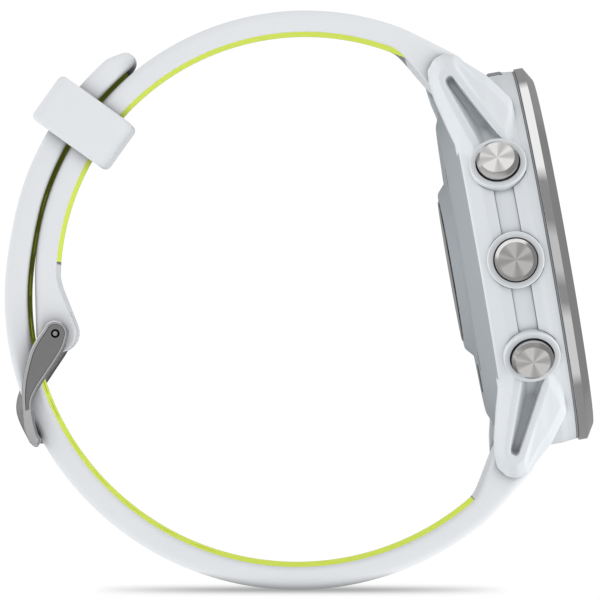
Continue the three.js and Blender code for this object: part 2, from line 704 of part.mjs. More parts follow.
function lowerStrap() {
  const body = band(lowerRadius, [0, LOWER_THICKNESS], LOWER_STATIONS, STRAP_WIDTH);
  const tipCut = prism([
    polar(TAIL_TIP_ANGLE - 1, 37.3), polar(TAIL_TIP_ANGLE - 1, 41), polar(TAIL_CHAMFER_ANGLE, 41),
    polar(TAIL_CHAMFER_ANGLE, lowerRadius(TAIL_CHAMFER_ANGLE) + LOWER_THICKNESS - 0.1),
    polar(TAIL_TIP_ANGLE, lowerRadius(TAIL_TIP_ANGLE) + LOWER_THICKNESS - 1.3),
  ], -STRAP_WIDTH, STRAP_WIDTH);
  const end = strapEnd(lowerRadius, LOWER_THICKNESS, LOWER_HUB, HUB_RADIUS, LOWER_FLARE);
  const recessDepth = [-1, LINING_THICKNESS + FINE_GAP];
  const recess = band(
    lowerRadius, recessDepth, recessStations(LOWER_LINING_STATIONS), LINING_WIDTH + 2 * GAP,
  );
  const cutBody = cut(
    join(body, end),
    recess,
    tipCut,
    about(rod(SPRING_BAR_RADIUS + GAP, -STRAP_WIDTH, STRAP_WIDTH), LOWER_HUB),
    knobSlot(LOWER_HUB),
    ...adjustmentHoles(),
  );
  return taper(cutBody, LOWER_HUB_ANGLE, FIRST_HOLE_ANGLE + USED_HOLE * HOLE_PITCH_ANGLE);
}

function upperLining() {
  const sheet = band(upperRadius, [0, LINING_THICKNESS], UPPER_LINING_STATIONS, LINING_WIDTH);
  return taper(sheet, UPPER_HUB_ANGLE, UPPER_END_ANGLE);
}

function lowerLining() {
  const sheet = band(lowerRadius, [0, LINING_THICKNESS], LOWER_LINING_STATIONS, LINING_WIDTH);
  const holed = cut(sheet, ...adjustmentHoles());
  return taper(holed, LOWER_HUB_ANGLE, FIRST_HOLE_ANGLE + USED_HOLE * HOLE_PITCH_ANGLE);
}

// ---------- spring bars ----------

const KNOB_Z = 8.2;
const PIN_INNER_Z = 6.4;
const BAR_END_Z = 10.7;

/** A spring bar barrel. One end is hollow for the release pin; reach is the tip on the other end. */
function springBar(hub, fixedTipReach) {
  const barrel = rod(SPRING_BAR_RADIUS, -BAR_END_Z, BAR_END_Z);
  const tip = rod(TIP_RADIUS, -fixedTipReach, -BAR_END_Z + 1);
  const bore = rod(TIP_RADIUS + FINE_GAP, 4.6, BAR_END_Z + 1);
  const towardsWrist = Math.atan2(-hub.y, -hub.x);
  const slot = block([0, -0.55, KNOB_SLOT_Z[0]], [HUB_RADIUS, 0.55, KNOB_SLOT_Z[1]]).rotateZ(towardsWrist);
  return about(cut(join(barrel, tip), bore, slot), hub);
}

/** The sliding pin of a spring bar with the knob that a fingernail pulls. */
function releasePin(hub, shift) {
  const pin = rod(TIP_RADIUS, PIN_INNER_Z, LUG_INNER + 1);
  const towardsWrist = Math.atan2(-hub.y, -hub.x);
  const stalk = block([0, -0.35, KNOB_Z - 0.5], [HUB_RADIUS + 0.35, 0.35, KNOB_Z + 0.5]);
  return about(join(pin, stalk.rotateZ(towardsWrist)), hub).translate(0, 0, -shift);
}

// ---------- keeper and buckle ----------

function keeper() {
  const middle = (KEEPER_INNER + KEEPER_OUTER) / 2;
  const sleeve = roundedBlock(
    KEEPER_OUTER - KEEPER_INNER, KEEPER_WIDTH, 1.2, -KEEPER_LENGTH / 2, KEEPER_LENGTH / 2,
  );
  const voidMiddle = (KEEPER_VOID[0] + KEEPER_VOID[1]) / 2;
  const opening = roundedBlock(
    KEEPER_VOID[1] - KEEPER_VOID[0], KEEPER_VOID_WIDTH, 0.5, -KEEPER_LENGTH, KEEPER_LENGTH,
  );
  const loop = cut(sleeve.translate(middle, 0, 0), opening.translate(voidMiddle, 0, 0));
  return loop.rotateX(Math.PI / 2).rotateZ(radians(KEEPER_ANGLE)).translate(UPPER_ARC.x, UPPER_ARC.y, 0);
}

/** The side outline of a buckle arm below its round head, ending at the crossbar. */
const ARM_OUTLINE = [
  [192.3, 30], [196.8, 32.7], [198.9, 34.2], [201, 35.35], [204.2, 36], [207, 36.35], [208.3, 36.35],
  [209.2, 37.1], [208.4, 37.62], [205.6, 37.7], [201.8, 36.95], [198.7, 36.3], [195.7, 35.5],
  [191.4, 34.15], [188.7, 33.05], [186.4, 31.9],
].map(([angle, radius]) => polar(angle, radius));

function buckleFrame() {
  const arm = (z0, z1) => join(
    prism([...ARM_OUTLINE, BUCKLE_PIN.toArray()], z0, z1),
    about(rod(ARM_HEAD_RADIUS, z0, z1, ROUND_SEGMENTS), BUCKLE_PIN),
  );
  const crossbar = prism([
    ...angles(...CROSSBAR_ANGLES, 1.4).map((angle) => polar(angle, CROSSBAR_INNER)),
    ...angles(...CROSSBAR_ANGLES, 1.4).reverse().map((angle) => polar(angle, CROSSBAR_OUTER)),
  ], -ARM_INSIDE - 0.5, ARM_INSIDE + 0.5);
  const restHalf = TONGUE_NOTCH_WIDTH / 2;
  const rest = prism([
    polar(203, 37.05), polar(210, 37.05), polar(210, 39), polar(203, 39),
  ], -restHalf, restHalf);
  return cut(
    join(arm(ARM_INSIDE, ARM_OUTSIDE), arm(-ARM_OUTSIDE, -ARM_INSIDE), crossbar),
    rest,
    about(rod(BUCKLE_BAR_RADIUS + FINE_GAP, -STRAP_WIDTH, STRAP_WIDTH), BUCKLE_PIN),
  );
}

/** The tongue: an eye on the buckle bar and a curved blade that lies across the crossbar. */
function tongue() {
  const half = TONGUE_WIDTH / 2;
  const middleLine = [
    BUCKLE_PIN, ...[[192, 32.3], [195, 34.3], [198, 36.2], [200.7, 37.35], [203.5, 37.7], [208, 37.65]]
      .map(([angle, radius]) => new THREE.Vector2(...polar(angle, radius))),
  ];
  const path = new THREE.SplineCurve(middleLine);
  const samples = Array.from({ length: 13 }, (_, i) => {
    const point = path.getPoint(i / 12);
    const across = path.getTangent(i / 12).rotateAround(new THREE.Vector2(), Math.PI / 2);
    return { point, across };
  });
  const edge = (side) => samples.map(({ point, across }) => (
    point.clone().addScaledVector(across, side * TONGUE_HALF_THICKNESS).toArray()
  ));
  const blade = prism([...edge(-1), ...edge(1).reverse()], -half, half);
  const eye = about(rod(TONGUE_EYE_RADIUS, -half, half, ROUND_SEGMENTS), BUCKLE_PIN);
  return cut(join(blade, eye), about(rod(BUCKLE_BAR_RADIUS + GAP, -half - 1, half + 1), BUCKLE_PIN));
}

// ---------- assembly ----------

function caseGroup() {
  const group = new THREE.Group();
  const tilt = radians(DIAL_TILT);
  group.applyMatrix4(new THREE.Matrix4().makeBasis(
    new THREE.Vector3(0, 1, 0),
    new THREE.Vector3(-Math.sin(tilt), 0, Math.cos(tilt)),
    new THREE.Vector3(Math.cos(tilt), 0, Math.sin(tilt)),
  ));

  group.add(
    part('case_body', caseBody(), 'shell', 0.55),
    part('bezel', bezel(), 'titanium', 0.25, 1),
    part('bezel_gasket', bezelGasket(), 'seal', 0.9),
    part('lens', lens(), 'glass', 0.05),
    part('display_panel', rod(DISPLAY_PANEL.radius, ...DISPLAY_PANEL.z, RING_SEGMENTS), 'display', 0.2),
    part('display_frame', displayFrame(), 'chassis', 0.5, 0.6),
    part('rear_cover', rearCover(), 'rear', 0.5),
    part('rear_seal', rearSeal(), 'seal', 0.9),
    part('sensor_window', rod(WINDOW_RADIUS, 0, WINDOW_THICKNESS, RING_SEGMENTS), 'sensor', 0.1),
    part('sensor_board', rod(SENSOR_BOARD.radius, ...SENSOR_BOARD.z, ROUND_SEGMENTS), 'board', 0.6),
    part('battery', battery(), 'battery', 0.5, 0.3),
    part('main_board', mainBoard(), 'board', 0.6),
    part('gps_antenna', gpsAntenna(), 'gold', 0.4, 0.8),
    part('vibration_motor', vibrationMotor(), 'steel', 0.3, 1),
    part('speaker', speaker(), 'chassis', 0.6),
    part('pressure_vent', pressureVent(), 'seal', 0.9),
    part('charge_port', chargePort(), 'seal', 0.8),
  );
  for (const index of [0, 1, 2, 3]) {
    const pin = rod(CONTACT_RADIUS, REAR_FLAT_Z + FINE_GAP, PORT_TOP_Z + 0.3);
    const [x, y] = SCREW_PLACES[index];
    group.add(
      part(`charge_contact_${index + 1}`, pin.translate(contactX(index), PORT_Y, 0), 'gold', 0.3, 1),
      part(`rear_screw_${index + 1}`, screw().translate(x, y, 0), 'steel', 0.3, 1),
    );
  }

  const windowHalf = FLASHLIGHT_WIDTH / 2;
  const flashlight = block(
    [-windowHalf, FLASHLIGHT_INSIDE, FLASHLIGHT_Z[0]], [windowHalf, FLASHLIGHT_FACE, FLASHLIGHT_Z[1]],
  );
  const lamp = block(
    [-windowHalf + 0.5, FLASHLIGHT_INSIDE - 1.1, FLASHLIGHT_Z[0] + 0.1],
    [windowHalf - 0.5, FLASHLIGHT_INSIDE - 0.3, FLASHLIGHT_Z[1] - 0.1],
  );
  group.add(
    part('flashlight_lens', flashlight, 'glass', 0.15),
    part('flashlight_board', lamp, 'board', 0.6),
    ...BUTTONS.map(buttonParts),
  );
  return group;
}

function strapGroup() {
  const group = new THREE.Group();
  group.position.copy(LOOP_CENTRE);
  group.rotation.x = Math.PI / 2;
  const tipReach = LUG_INNER + 1;
  const retracted = BAR_END_Z - 0.1;
  group.add(
    part('upper_strap', upperStrap(), 'strap', 0.7),
    part('lower_strap', lowerStrap(), 'strap', 0.7),
    part('upper_lining', upperLining(), 'lining', 0.7),
    part('lower_lining', lowerLining(), 'lining', 0.7),
    part('upper_spring_bar', springBar(UPPER_HUB, tipReach), 'steel', 0.3, 1),
    part('lower_spring_bar', springBar(LOWER_HUB, retracted), 'steel', 0.3, 1),
    part('upper_release_pin', releasePin(UPPER_HUB, 0), 'steel', 0.3, 1),
    part('lower_release_pin', releasePin(LOWER_HUB, RELEASE_TRAVEL), 'steel', 0.3, 1),
    part('keeper', keeper(), 'strap', 0.7),
    part('buckle_frame', buckleFrame(), 'buckle', 0.35, 1),
    part('buckle_bar', about(rod(BUCKLE_BAR_RADIUS, -ARM_OUTSIDE, ARM_OUTSIDE), BUCKLE_PIN), 'steel', 0.3, 1),
    part('tongue', tongue(), 'buckle', 0.35, 1),
  );
  return group;
}

const watch = new THREE.Group();
watch.add(caseGroup(), strapGroup());

export default watch;
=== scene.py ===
import json
import math

import bmesh
import bpy
import numpy as np
from mathutils import Matrix, Vector


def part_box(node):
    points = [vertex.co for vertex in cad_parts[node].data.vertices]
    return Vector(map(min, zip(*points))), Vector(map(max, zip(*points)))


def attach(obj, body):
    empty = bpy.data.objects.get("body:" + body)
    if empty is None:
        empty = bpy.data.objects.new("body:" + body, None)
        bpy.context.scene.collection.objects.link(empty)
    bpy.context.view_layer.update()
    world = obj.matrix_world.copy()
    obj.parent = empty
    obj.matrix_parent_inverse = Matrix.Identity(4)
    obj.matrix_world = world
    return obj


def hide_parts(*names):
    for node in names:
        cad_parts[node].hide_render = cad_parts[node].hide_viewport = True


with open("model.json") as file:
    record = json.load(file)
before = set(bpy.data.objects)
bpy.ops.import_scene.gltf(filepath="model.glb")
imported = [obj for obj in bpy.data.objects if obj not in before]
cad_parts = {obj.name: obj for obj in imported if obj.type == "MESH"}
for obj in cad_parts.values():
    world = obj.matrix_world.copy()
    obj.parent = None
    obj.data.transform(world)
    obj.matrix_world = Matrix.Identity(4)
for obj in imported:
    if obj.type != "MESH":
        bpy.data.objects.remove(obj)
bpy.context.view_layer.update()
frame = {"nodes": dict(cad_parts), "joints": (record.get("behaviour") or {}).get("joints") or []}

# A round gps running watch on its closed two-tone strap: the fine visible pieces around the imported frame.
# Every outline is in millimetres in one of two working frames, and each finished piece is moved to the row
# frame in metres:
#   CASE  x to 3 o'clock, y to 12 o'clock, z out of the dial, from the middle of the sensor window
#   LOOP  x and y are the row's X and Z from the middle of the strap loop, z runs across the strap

MM = 0.001
joints = {joint["name"]: joint for joint in frame["joints"]}

# ---------- working frames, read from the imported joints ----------

TURN = 2 * math.pi
RIGHT = math.pi / 2
UPPER_ARC = np.array((0.71, 2.28))
LOWER_ARC = np.array((-0.37, 0.34))


def joint_point(name):
    """A joint's place in millimetres."""
    return Vector(joints[name]["pos_m"]) / MM


def matrix(columns, origin=(0, 0, 0)):
    return Matrix.Translation(origin) @ Matrix(columns).transposed().to_4x4()


PRESS_AXIS = joints["light_button_press"]["axis"]
TILT = math.atan2(PRESS_AXIS[0], -PRESS_AXIS[2])
SIN, COS = math.sin(TILT), math.cos(TILT)
KEEPER_PIVOT = joint_point("keeper_slide")
LOOP_CENTRE = KEEPER_PIVOT - Vector((UPPER_ARC[0], 0, UPPER_ARC[1]))
CASE = matrix(((0, 1, 0), (-SIN, 0, COS), (COS, 0, SIN)))
LOOP = matrix(((1, 0, 0), (0, 0, 1), (0, -1, 0)), LOOP_CENTRE)


def span(node, place):
    """Lowest and highest corner of a CAD node in a working frame."""
    back = np.array(place.inverted())
    corners = np.array([v.co for v in frame["nodes"][node].data.vertices]) / MM
    local = corners @ back[:3, :3].T + back[:3, 3]
    return local.min(0), local.max(0)


def in_loop(point):
    """A row point in millimetres as a flat loop-frame point."""
    return np.array((LOOP.inverted() @ point)[:2])


def direction(turn):
    """The flat unit vector at an angle in radians."""
    return np.array((math.cos(turn), math.sin(turn)))


def polar(angle, radius):
    """The flat point at an angle in degrees and a distance from the middle."""
    return radius * direction(math.radians(angle))


def point_angle(point):
    """The angle of a flat point in degrees, from 0 to 360."""
    return math.degrees(math.atan2(point[1], point[0])) % 360


def facing_out(angle, origin):
    """A frame at an origin: z points out from the axis at an angle in degrees, y runs along the axis."""
    axis = Vector((0, 0, 1))
    outwards = Vector((*direction(math.radians(angle)), 0))
    return matrix((axis.cross(outwards), axis, outwards), origin)


UPPER_HUB = in_loop(joint_point("strap_swing"))
BUCKLE_PIN = in_loop(joint_point("buckle_hinge"))
lower_bar = span("lower_spring_bar", LOOP)
LOWER_HUB = (lower_bar[0][:2] + lower_bar[1][:2]) / 2

# ---------- mesh building ----------

SEGMENTS = 192
FINE_STEPS = 6


def make(points, faces):
    """A mesh object with its faces pointing outwards; piece() names it."""
    mesh = bpy.data.meshes.new("shape")
    mesh.from_pydata([tuple(map(float, point)) for point in points], [], faces)
    build = bmesh.new()
    build.from_mesh(mesh)
    bmesh.ops.recalc_face_normals(build, faces=build.faces)
    build.to_mesh(mesh)
    build.free()
    made = bpy.data.objects.new("shape", mesh)
    bpy.context.scene.collection.objects.link(made)
    return made


def apply_modifiers(made):
    bpy.context.view_layer.update()
    graph = bpy.context.evaluated_depsgraph_get()
    mesh = bpy.data.meshes.new_from_object(made.evaluated_get(graph))
    made.modifiers.clear()
    old = made.data
    made.data = mesh
    bpy.data.meshes.remove(old)
    return made


def combine(base, tools, operation):
    """Joins tools to a base, or cuts them from it, and removes the tools."""
    for tool in tools:
        step = base.modifiers.new("combine", "BOOLEAN")
        step.solver = "MANIFOLD"
        step.operation = operation
        step.object = tool
    apply_modifiers(base)
    for tool in tools:
        bpy.data.objects.remove(tool)
    return base


def join(base, *tools):
    return combine(base, tools, "UNION")


def cut(base, *tools):
    return combine(base, tools, "DIFFERENCE")


def common(base, *tools):
    return combine(base, tools, "INTERSECT")


def moulded(made, voxel, passes):
    """Rebuilds a solid on an even grid and softens its edges, as a moulded part has them."""
    grid = made.modifiers.new("grid", "REMESH")
    grid.mode = "VOXEL"
    grid.voxel_size = voxel
    soften = made.modifiers.new("soften", "SMOOTH")
    soften.factor = 0.5
    soften.iterations = passes
    return apply_modifiers(made)


def grid_faces(rows, columns, close_rows):
    """Quads between consecutive rows of points; the columns always close on themselves."""
    faces = []
    for i in range(rows if close_rows else rows - 1):
        for j in range(columns):
            a, b = i * columns, (i + 1) % rows * columns
            k = (j + 1) % columns
            faces.append((a + j, a + k, b + k, b + j))
    return faces


def skin(sections, closed=False):
    """Joins closed cross-sections of equal length, and caps the two ends unless the row is closed."""
    rows, columns = len(sections), len(sections[0])
    faces = grid_faces(rows, columns, closed)
    if not closed:
        faces.append(tuple(range(columns)))
        faces.append(tuple(range((rows - 1) * columns, rows * columns)))
    return make(np.concatenate(sections), faces)


def rounded(outline, radius, steps=FINE_STEPS, closed=True):
    """Rounds an outline's corners. A corner may carry its own radius as a third number; 0 keeps it sharp."""
    points = [np.array(point[:2], float) for point in outline]
    radii = [point[2] if len(point) > 2 else radius for point in outline]
    result = []
    for i, (corner, size) in enumerate(zip(points, radii)):
        if not size or (not closed and i in (0, len(points) - 1)):
            result.append(corner)
            continue
        before, after = points[i - 1] - corner, points[(i + 1) % len(points)] - corner
        reach = [np.linalg.norm(before), np.linalg.norm(after)]
        before, after = before / reach[0], after / reach[1]
        half = math.acos(max(-1, min(1, float(before @ after)))) / 2
        back = min(size / max(math.tan(half), 0.01), 0.48 * reach[0], 0.48 * reach[1])
        start, end = corner + before * back, corner + after * back
        for t in np.linspace(0, 1, steps + 1):
            result.append((1 - t) ** 2 * start + 2 * t * (1 - t) * corner + t * t * end)
    return np.array(result)


def revolve(profile, radius=0.0, closed=True, segments=SEGMENTS):
    """A body of revolution about z from a (radius, z) outline, closed on itself or ending on the axis."""
    outline = rounded(profile, radius, closed=closed)
    if not closed:
        outline = outline[1:-1]
    turns = np.arange(segments) * TURN / segments
    sections = []
    for r, z in outline:
        circle = np.stack((r * np.cos(turns), r * np.sin(turns), np.full(segments, z)), 1)
        sections.append(circle)
    return skin(sections, closed)


def rod(radius, z0, z1, edge=0.0, segments=64):
    """A round bar about z, with softened rims."""
    rim = max(edge, 0.001)
    profile = [(0, z0), (rim, z0, 0), (radius, z0), (radius, z1), (rim, z1, 0), (0, z1)]
    return revolve(profile, rim, closed=False, segments=segments)


def shape_normals(outline):
    """Inward normals of a closed anticlockwise outline."""
    along = np.roll(outline, -1, 0) - np.roll(outline, 1, 0)
    along /= np.linalg.norm(along, axis=1)[:, None]
    return np.stack((-along[:, 1], along[:, 0]), 1)


def stack(outline, layers):
    """A solid from copies of a flat outline, one for each (height, inset) pair."""
    area = np.sum(outline[:, 0] * np.roll(outline[:, 1], -1) - np.roll(outline[:, 0], -1) * outline[:, 1])
    if area < 0:
        outline = outline[::-1]
    inward = shape_normals(outline)
    sections = []
    for height, inset in layers:
        flat = outline + inward * inset
        sections.append(np.column_stack((flat, np.full(len(flat), height))))
    return skin(sections)


def slab(outline, z0, z1, edge):
    """A flat outline pulled along z with rounded rims."""
    turn = np.linspace(0, RIGHT, FINE_STEPS)
    low = [(z0 + edge * (1 - math.sin(a)), edge * (1 - math.cos(a))) for a in turn[::-1]]
    high = [(z1 - edge * (1 - math.sin(a)), edge * (1 - math.cos(a))) for a in turn]
    return stack(outline, low + high)


def box_outline(width, height, corner, centre=(0, 0)):
    w, h = width / 2, height / 2
    x, y = centre
    return rounded([(x - w, y - h), (x + w, y - h), (x + w, y + h), (x - w, y + h)], corner)


def block(low, high, corner=0.02):
    centre = ((low[0] + high[0]) / 2, (low[1] + high[1]) / 2)
    outline = box_outline(high[0] - low[0], high[1] - low[1], corner, centre)
    return stack(outline, [(low[2], 0), (high[2], 0)])


def move(made, transform):
    made.data.transform(transform)
    if transform.determinant() < 0:
        made.data.flip_normals()
    return made


def shifted(made, x=0, y=0, z=0):
    return move(made, Matrix.Translation((x, y, z)))


def turned(made, angle, point=(0, 0)):
    """Turns a shape about z by an angle in degrees and moves it to a flat point."""
    return shifted(move(made, Matrix.Rotation(math.radians(angle), 4, "Z")), *point)


def band(inner, outer, across, half_width, edges, recess=None, closed=False):
    """A strip between an inner and an outer line of points, with rounded edges.

    edges are the rounding radii of the outer and inner corners. recess is an optional pair of arrays:
    the half width and the depth of a shallow channel in the inner face.
    """
    inner, outer = np.asarray(inner, float), np.asarray(outer, float)
    count = len(inner)
    widths = np.broadcast_to(np.asarray(half_width, float), (count,))
    turn = np.linspace(0, RIGHT, FINE_STEPS)
    sections = []
    for i in range(count):
        height = np.linalg.norm(outer[i] - inner[i])
        up = (outer[i] - inner[i]) / height
        w = widths[i]
        ro, ri = (min(edge, 0.45 * height, 0.45 * w) for edge in edges)
        corner_in = [(w - ri * (1 - math.sin(a)), ri * (1 - math.cos(a))) for a in turn]
        corner_out = [(w - ro * (1 - math.cos(a)), height - ro * (1 - math.sin(a))) for a in turn]
        right = corner_in + corner_out
        bottom = []
        if recess is not None:
            half, depth = recess[0][i], recess[1][i]
            bottom = [(-half, 0), (-half, depth), (half, depth), (half, 0)]
        section = bottom + right + [(-v, t) for v, t in reversed(right)]
        sections.append([inner[i] + up * t + np.asarray(across) * v for v, t in section])
    return skin([np.array(section) for section in sections], closed)


# ---------- materials ----------


class Nodes:
    """Builds a node tree."""

    def __init__(self, tree):
        self.tree = tree

    def node(self, kind, **values):
        node = self.tree.nodes.new(kind)
        for key, value in values.items():
            setattr(node, key, value)
        return node

    def feed(self, socket, value):
        if isinstance(value, bpy.types.NodeSocket):
            self.tree.links.new(value, socket)
        else:
            socket.default_value = value

    def add(self, kind, inputs, output=0, **values):
        """Adds a node, feeds its inputs by name or number, and gives one of its outputs."""
        node = self.node(kind, **values)
        for key, value in inputs.items():
            self.feed(node.inputs[key], value)
        return node.outputs[output]

    def object_mm(self):
        """The place in the object's own frame, in millimetres."""
        coordinate = self.node("ShaderNodeTexCoord").outputs["Object"]
        return self.add("ShaderNodeVectorMath", {0: coordinate, "Scale": 1 / MM}, operation="SCALE")

    def stretch(self, vector, factors):
        return self.add("ShaderNodeVectorMath", {0: vector, 1: factors}, operation="MULTIPLY")

    def noise(self, vector, scale, detail=2.0):
        return self.add("ShaderNodeTexNoise", {"Vector": vector, "Scale": scale, "Detail": detail}, "Fac")

    def math(self, operation, a, b=0.0):
        return self.add("ShaderNodeMath", {0: a, 1: b}, operation=operation)

    def times(self, a, b):
        return self.math("MULTIPLY", a, b)

    def plus(self, a, b):
        return self.math("ADD", a, b)

    def less(self, a, b):
        return self.math("SUBTRACT", a, b)

    def fit(self, value, low, high, start=0.0, end=1.0):
        """Maps a value from start..end to low..high."""
        return self.add("ShaderNodeMapRange", {
            "Value": value, "From Min": start, "From Max": end, "To Min": low, "To Max": high,
        })

    def mix(self, share, a, b):
        return self.add("ShaderNodeMix", {"Factor": share, 6: a, 7: b}, 2, data_type="RGBA")

    def parts(self, vector):
        node = self.node("ShaderNodeSeparateXYZ")
        self.feed(node.inputs[0], vector)
        return node.outputs

    def vector(self, x, y, z):
        return self.add("ShaderNodeCombineXYZ", {0: x, 1: y, 2: z})

    def length(self, vector):
        return self.add("ShaderNodeVectorMath", {0: vector}, "Value", operation="LENGTH")


class Shader(Nodes):
    """A Principled material; places inside it are the piece's own millimetres."""

    def __init__(self, name, colour, roughness=0.5, metallic=0.0):
        self.material = bpy.data.materials.new(name)
        self.material.use_nodes = True
        super().__init__(self.material.node_tree)
        self.surface = self.tree.nodes["Principled BSDF"]
        self.colour = (*colour, 1)
        self.set("Base Color", self.colour)
        self.set("Roughness", roughness)
        self.set("Metallic", metallic)

    def set(self, name, value):
        self.feed(self.surface.inputs[name], value)

    def local(self):
        """The place on the piece in its working frame, stored with the mesh."""
        return self.node("ShaderNodeAttribute", attribute_name="local").outputs["Vector"]

    def round_coordinates(self):
        """Distance from the piece's own axis, angle about it and height along it."""
        x, y, z = self.parts(self.local())
        return self.length(self.vector(x, y, 0)), self.math("ARCTAN2", y, x), z

    def bump(self, height, distance):
        """Relief of the given depth in millimetres."""
        relief = {"Height": height, "Distance": distance * MM, "Strength": 1}
        self.set("Normal", self.add("ShaderNodeBump", relief))

    def tint(self, share, low, high):
        """Varies the base colour between two brightness factors."""
        dark = tuple(c * low for c in self.colour[:3]) + (1,)
        light = tuple(min(1, c * high) for c in self.colour[:3]) + (1,)
        self.base = self.mix(share, dark, light)
        self.set("Base Color", self.base)

    def finish(self, pattern, roughness, relief):
        """Lets a pattern vary the roughness between two values and stand out by a depth in millimetres."""
        self.set("Roughness", self.fit(pattern, *roughness))
        self.bump(pattern, relief)
        return self.material

    def openness(self, reach, start=0.15, end=0.9):
        """0 in gaps and creases narrower than the reach in millimetres, 1 in the open."""
        open_share = self.add("ShaderNodeAmbientOcclusion", {"Distance": reach * MM}, "AO", samples=8)
        return self.fit(open_share, 0, 1, start, end)

    def shade(self, reach, depth):
        """Darkens the tinted colour where a crease or a gap keeps the light out."""
        dark = tuple(c * depth for c in self.colour[:3]) + (1,)
        self.set("Base Color", self.mix(self.openness(reach), dark, self.base))


def silicone(name, colour, painted_glow=0.0):
    """Matt silicone with a fine powdery grain and faint cloudy variation; painted shade darkens it in creases
    and gaps, and painted light may make it shine from within.
    """
    shader = Shader(name, colour)
    place = shader.local()
    grain = shader.noise(place, 9, 3)
    cloud = shader.noise(place, 0.12, 2)
    shader.tint(cloud, 0.965, 1.02)
    # painted shade: the colour darkens in creases and gaps
    shader.shade(2.5, 0.35)
    shader.set("Specular IOR Level", 0.3)
    # painted light: the sheet shines a little from within, less in gaps and creases as painted shade
    if painted_glow:
        shader.set("Emission Color", shader.colour)
        shader.set("Emission Strength", shader.fit(shader.openness(6), painted_glow * 0.3, painted_glow))
    return shader.finish(grain, (0.5, 0.66), 0.003)


def polymer(name, colour, roughness):
    """Satin fibre-filled polymer: short fibres flow round the case and give a slight mottling. Painted shade
    darkens it in creases and gaps.
    """
    shader = Shader(name, colour)
    place = shader.local()
    flow = shader.noise(shader.stretch(place, (3, 3, 11)), 1.2, 3)
    grain = shader.noise(place, 12, 2)
    shader.tint(flow, 0.97, 1.02)
    # painted shade: the colour darkens in creases and gaps
    shader.shade(1.1, 0.35)
    shader.set("Specular IOR Level", 0.5)
    return shader.finish(grain, (roughness - 0.06, roughness + 0.08), 0.006)


def turned_metal(name, colour, roughness, streak):
    """Metal brushed round its own axis."""
    shader = Shader(name, colour, roughness, 1.0)
    radius, angle, height = shader.round_coordinates()
    lines = shader.noise(shader.vector(shader.times(radius, 14),
                                       shader.times(angle, 1.5),
                                       shader.times(height, 14)), 1.0, 3)
    shader.tint(lines, 1 - streak, 1 + streak)
    return shader.finish(lines, (roughness * 0.75, roughness * 1.3), 0.002)


# Directions of the painted dark reflection wedges on a button face and their half width, in degrees.
PAINTED_WEDGES = (0, 90, 150, 225, 270)
PAINTED_WEDGE_HALF = 24


def sunray_metal_painted_wedges(name, colour, roughness, face):
    """A button face finished in circles: the dark wedges of reflection that meet in the middle are painted
    into its colour.
    """
    shader = Shader(name, colour, roughness, 1.0)
    radius, angle, height = shader.round_coordinates()
    narrow = math.cos(math.radians(PAINTED_WEDGE_HALF))
    dark = 0.0
    for wedge in PAINTED_WEDGES:
        near = shader.math("COSINE", shader.less(angle, math.radians(wedge)))
        dark = shader.plus(shader.fit(near, 0, 1, narrow, 1), dark)
    on_face = shader.math("GREATER_THAN", height, face)
    share = shader.times(dark, on_face)
    # painted reflection: the face is darker inside the wedges
    shader.tint(share, 1.0, 0.66)
    rings = shader.noise(shader.vector(shader.times(radius, 22), 0, 0), 1.0, 3)
    return shader.finish(rings, (roughness * 0.7, roughness * 1.4), 0.002)


def satin_steel(name, colour, roughness):
    """Satin steel with a fine straight brush."""
    shader = Shader(name, colour, roughness, 1.0)
    lines = shader.noise(shader.stretch(shader.local(), (1, 1, 14)), 1.6, 4)
    cloud = shader.noise(shader.local(), 0.5, 2)
    shader.tint(cloud, 0.92, 1.05)
    return shader.finish(lines, (roughness * 0.8, roughness * 1.25), 0.003)


def buckle_finish(name):
    """Buckle steel: polished outer rims round a blasted grey recess."""
    shader = Shader(name, (0.35, 0.35, 0.355), 0.32, 1.0)
    height = shader.math("ABSOLUTE", shader.parts(shader.local())[2])
    lines = shader.noise(shader.stretch(shader.local(), (1, 1, 14)), 1.6, 4)
    rim = shader.fit(height, 0, 1, ARM_OUTSIDE - 0.3, ARM_OUTSIDE - 0.2)
    shader.set("Base Color", shader.mix(rim, shader.colour, (0.78, 0.78, 0.79, 1)))
    return shader.finish(lines, (0.24, 0.36), 0.003)


def clear_glass(name):
    shader = Shader(name, (0.95, 0.97, 0.98), 0.02)
    shader.set("Transmission Weight", 1.0)
    shader.set("IOR", 1.52)
    smudge = shader.noise(shader.local(), 0.15, 3)
    shader.set("Roughness", shader.fit(smudge, 0.0, 0.01))
    return shader.material


def lamp_cover(name):
    """Smoke-grey frosted cover of the lamp at 12 o'clock."""
    shader = Shader(name, (0.27, 0.275, 0.29), 0.45)
    ribs = shader.math("SINE", shader.times(shader.parts(shader.local())[0], 9))
    shader.tint(shader.fit(ribs, 0, 1, -1, 1), 0.9, 1.15)
    shader.bump(ribs, 0.01)
    return shader.material


def sensor_glass(name, window):
    """Dark glass over the optical sensor; the emitters and receivers show faintly through it."""
    shader = Shader(name, (0.012, 0.014, 0.017), 0.06)
    radius, angle, _ = shader.round_coordinates()
    sixth = shader.math("COSINE", shader.times(angle, 6))
    from_ring = shader.math("ABSOLUTE", shader.less(radius, window * 0.6))
    near = shader.less(shader.times(sixth, 1.2), shader.times(from_ring, 1.1))
    spots = shader.fit(near, 0, 1, 0.05, 0.2)
    middle = shader.fit(radius, 1, 0, window * 0.16, window * 0.18)
    share = shader.math("MAXIMUM", spots, middle)
    shader.set("Base Color", shader.mix(share, shader.colour, (0.06, 0.075, 0.07, 1)))
    shader.set("Coat Weight", 1.0)
    shader.set("Roughness", shader.fit(share, 0.06, 0.2))
    return shader.material


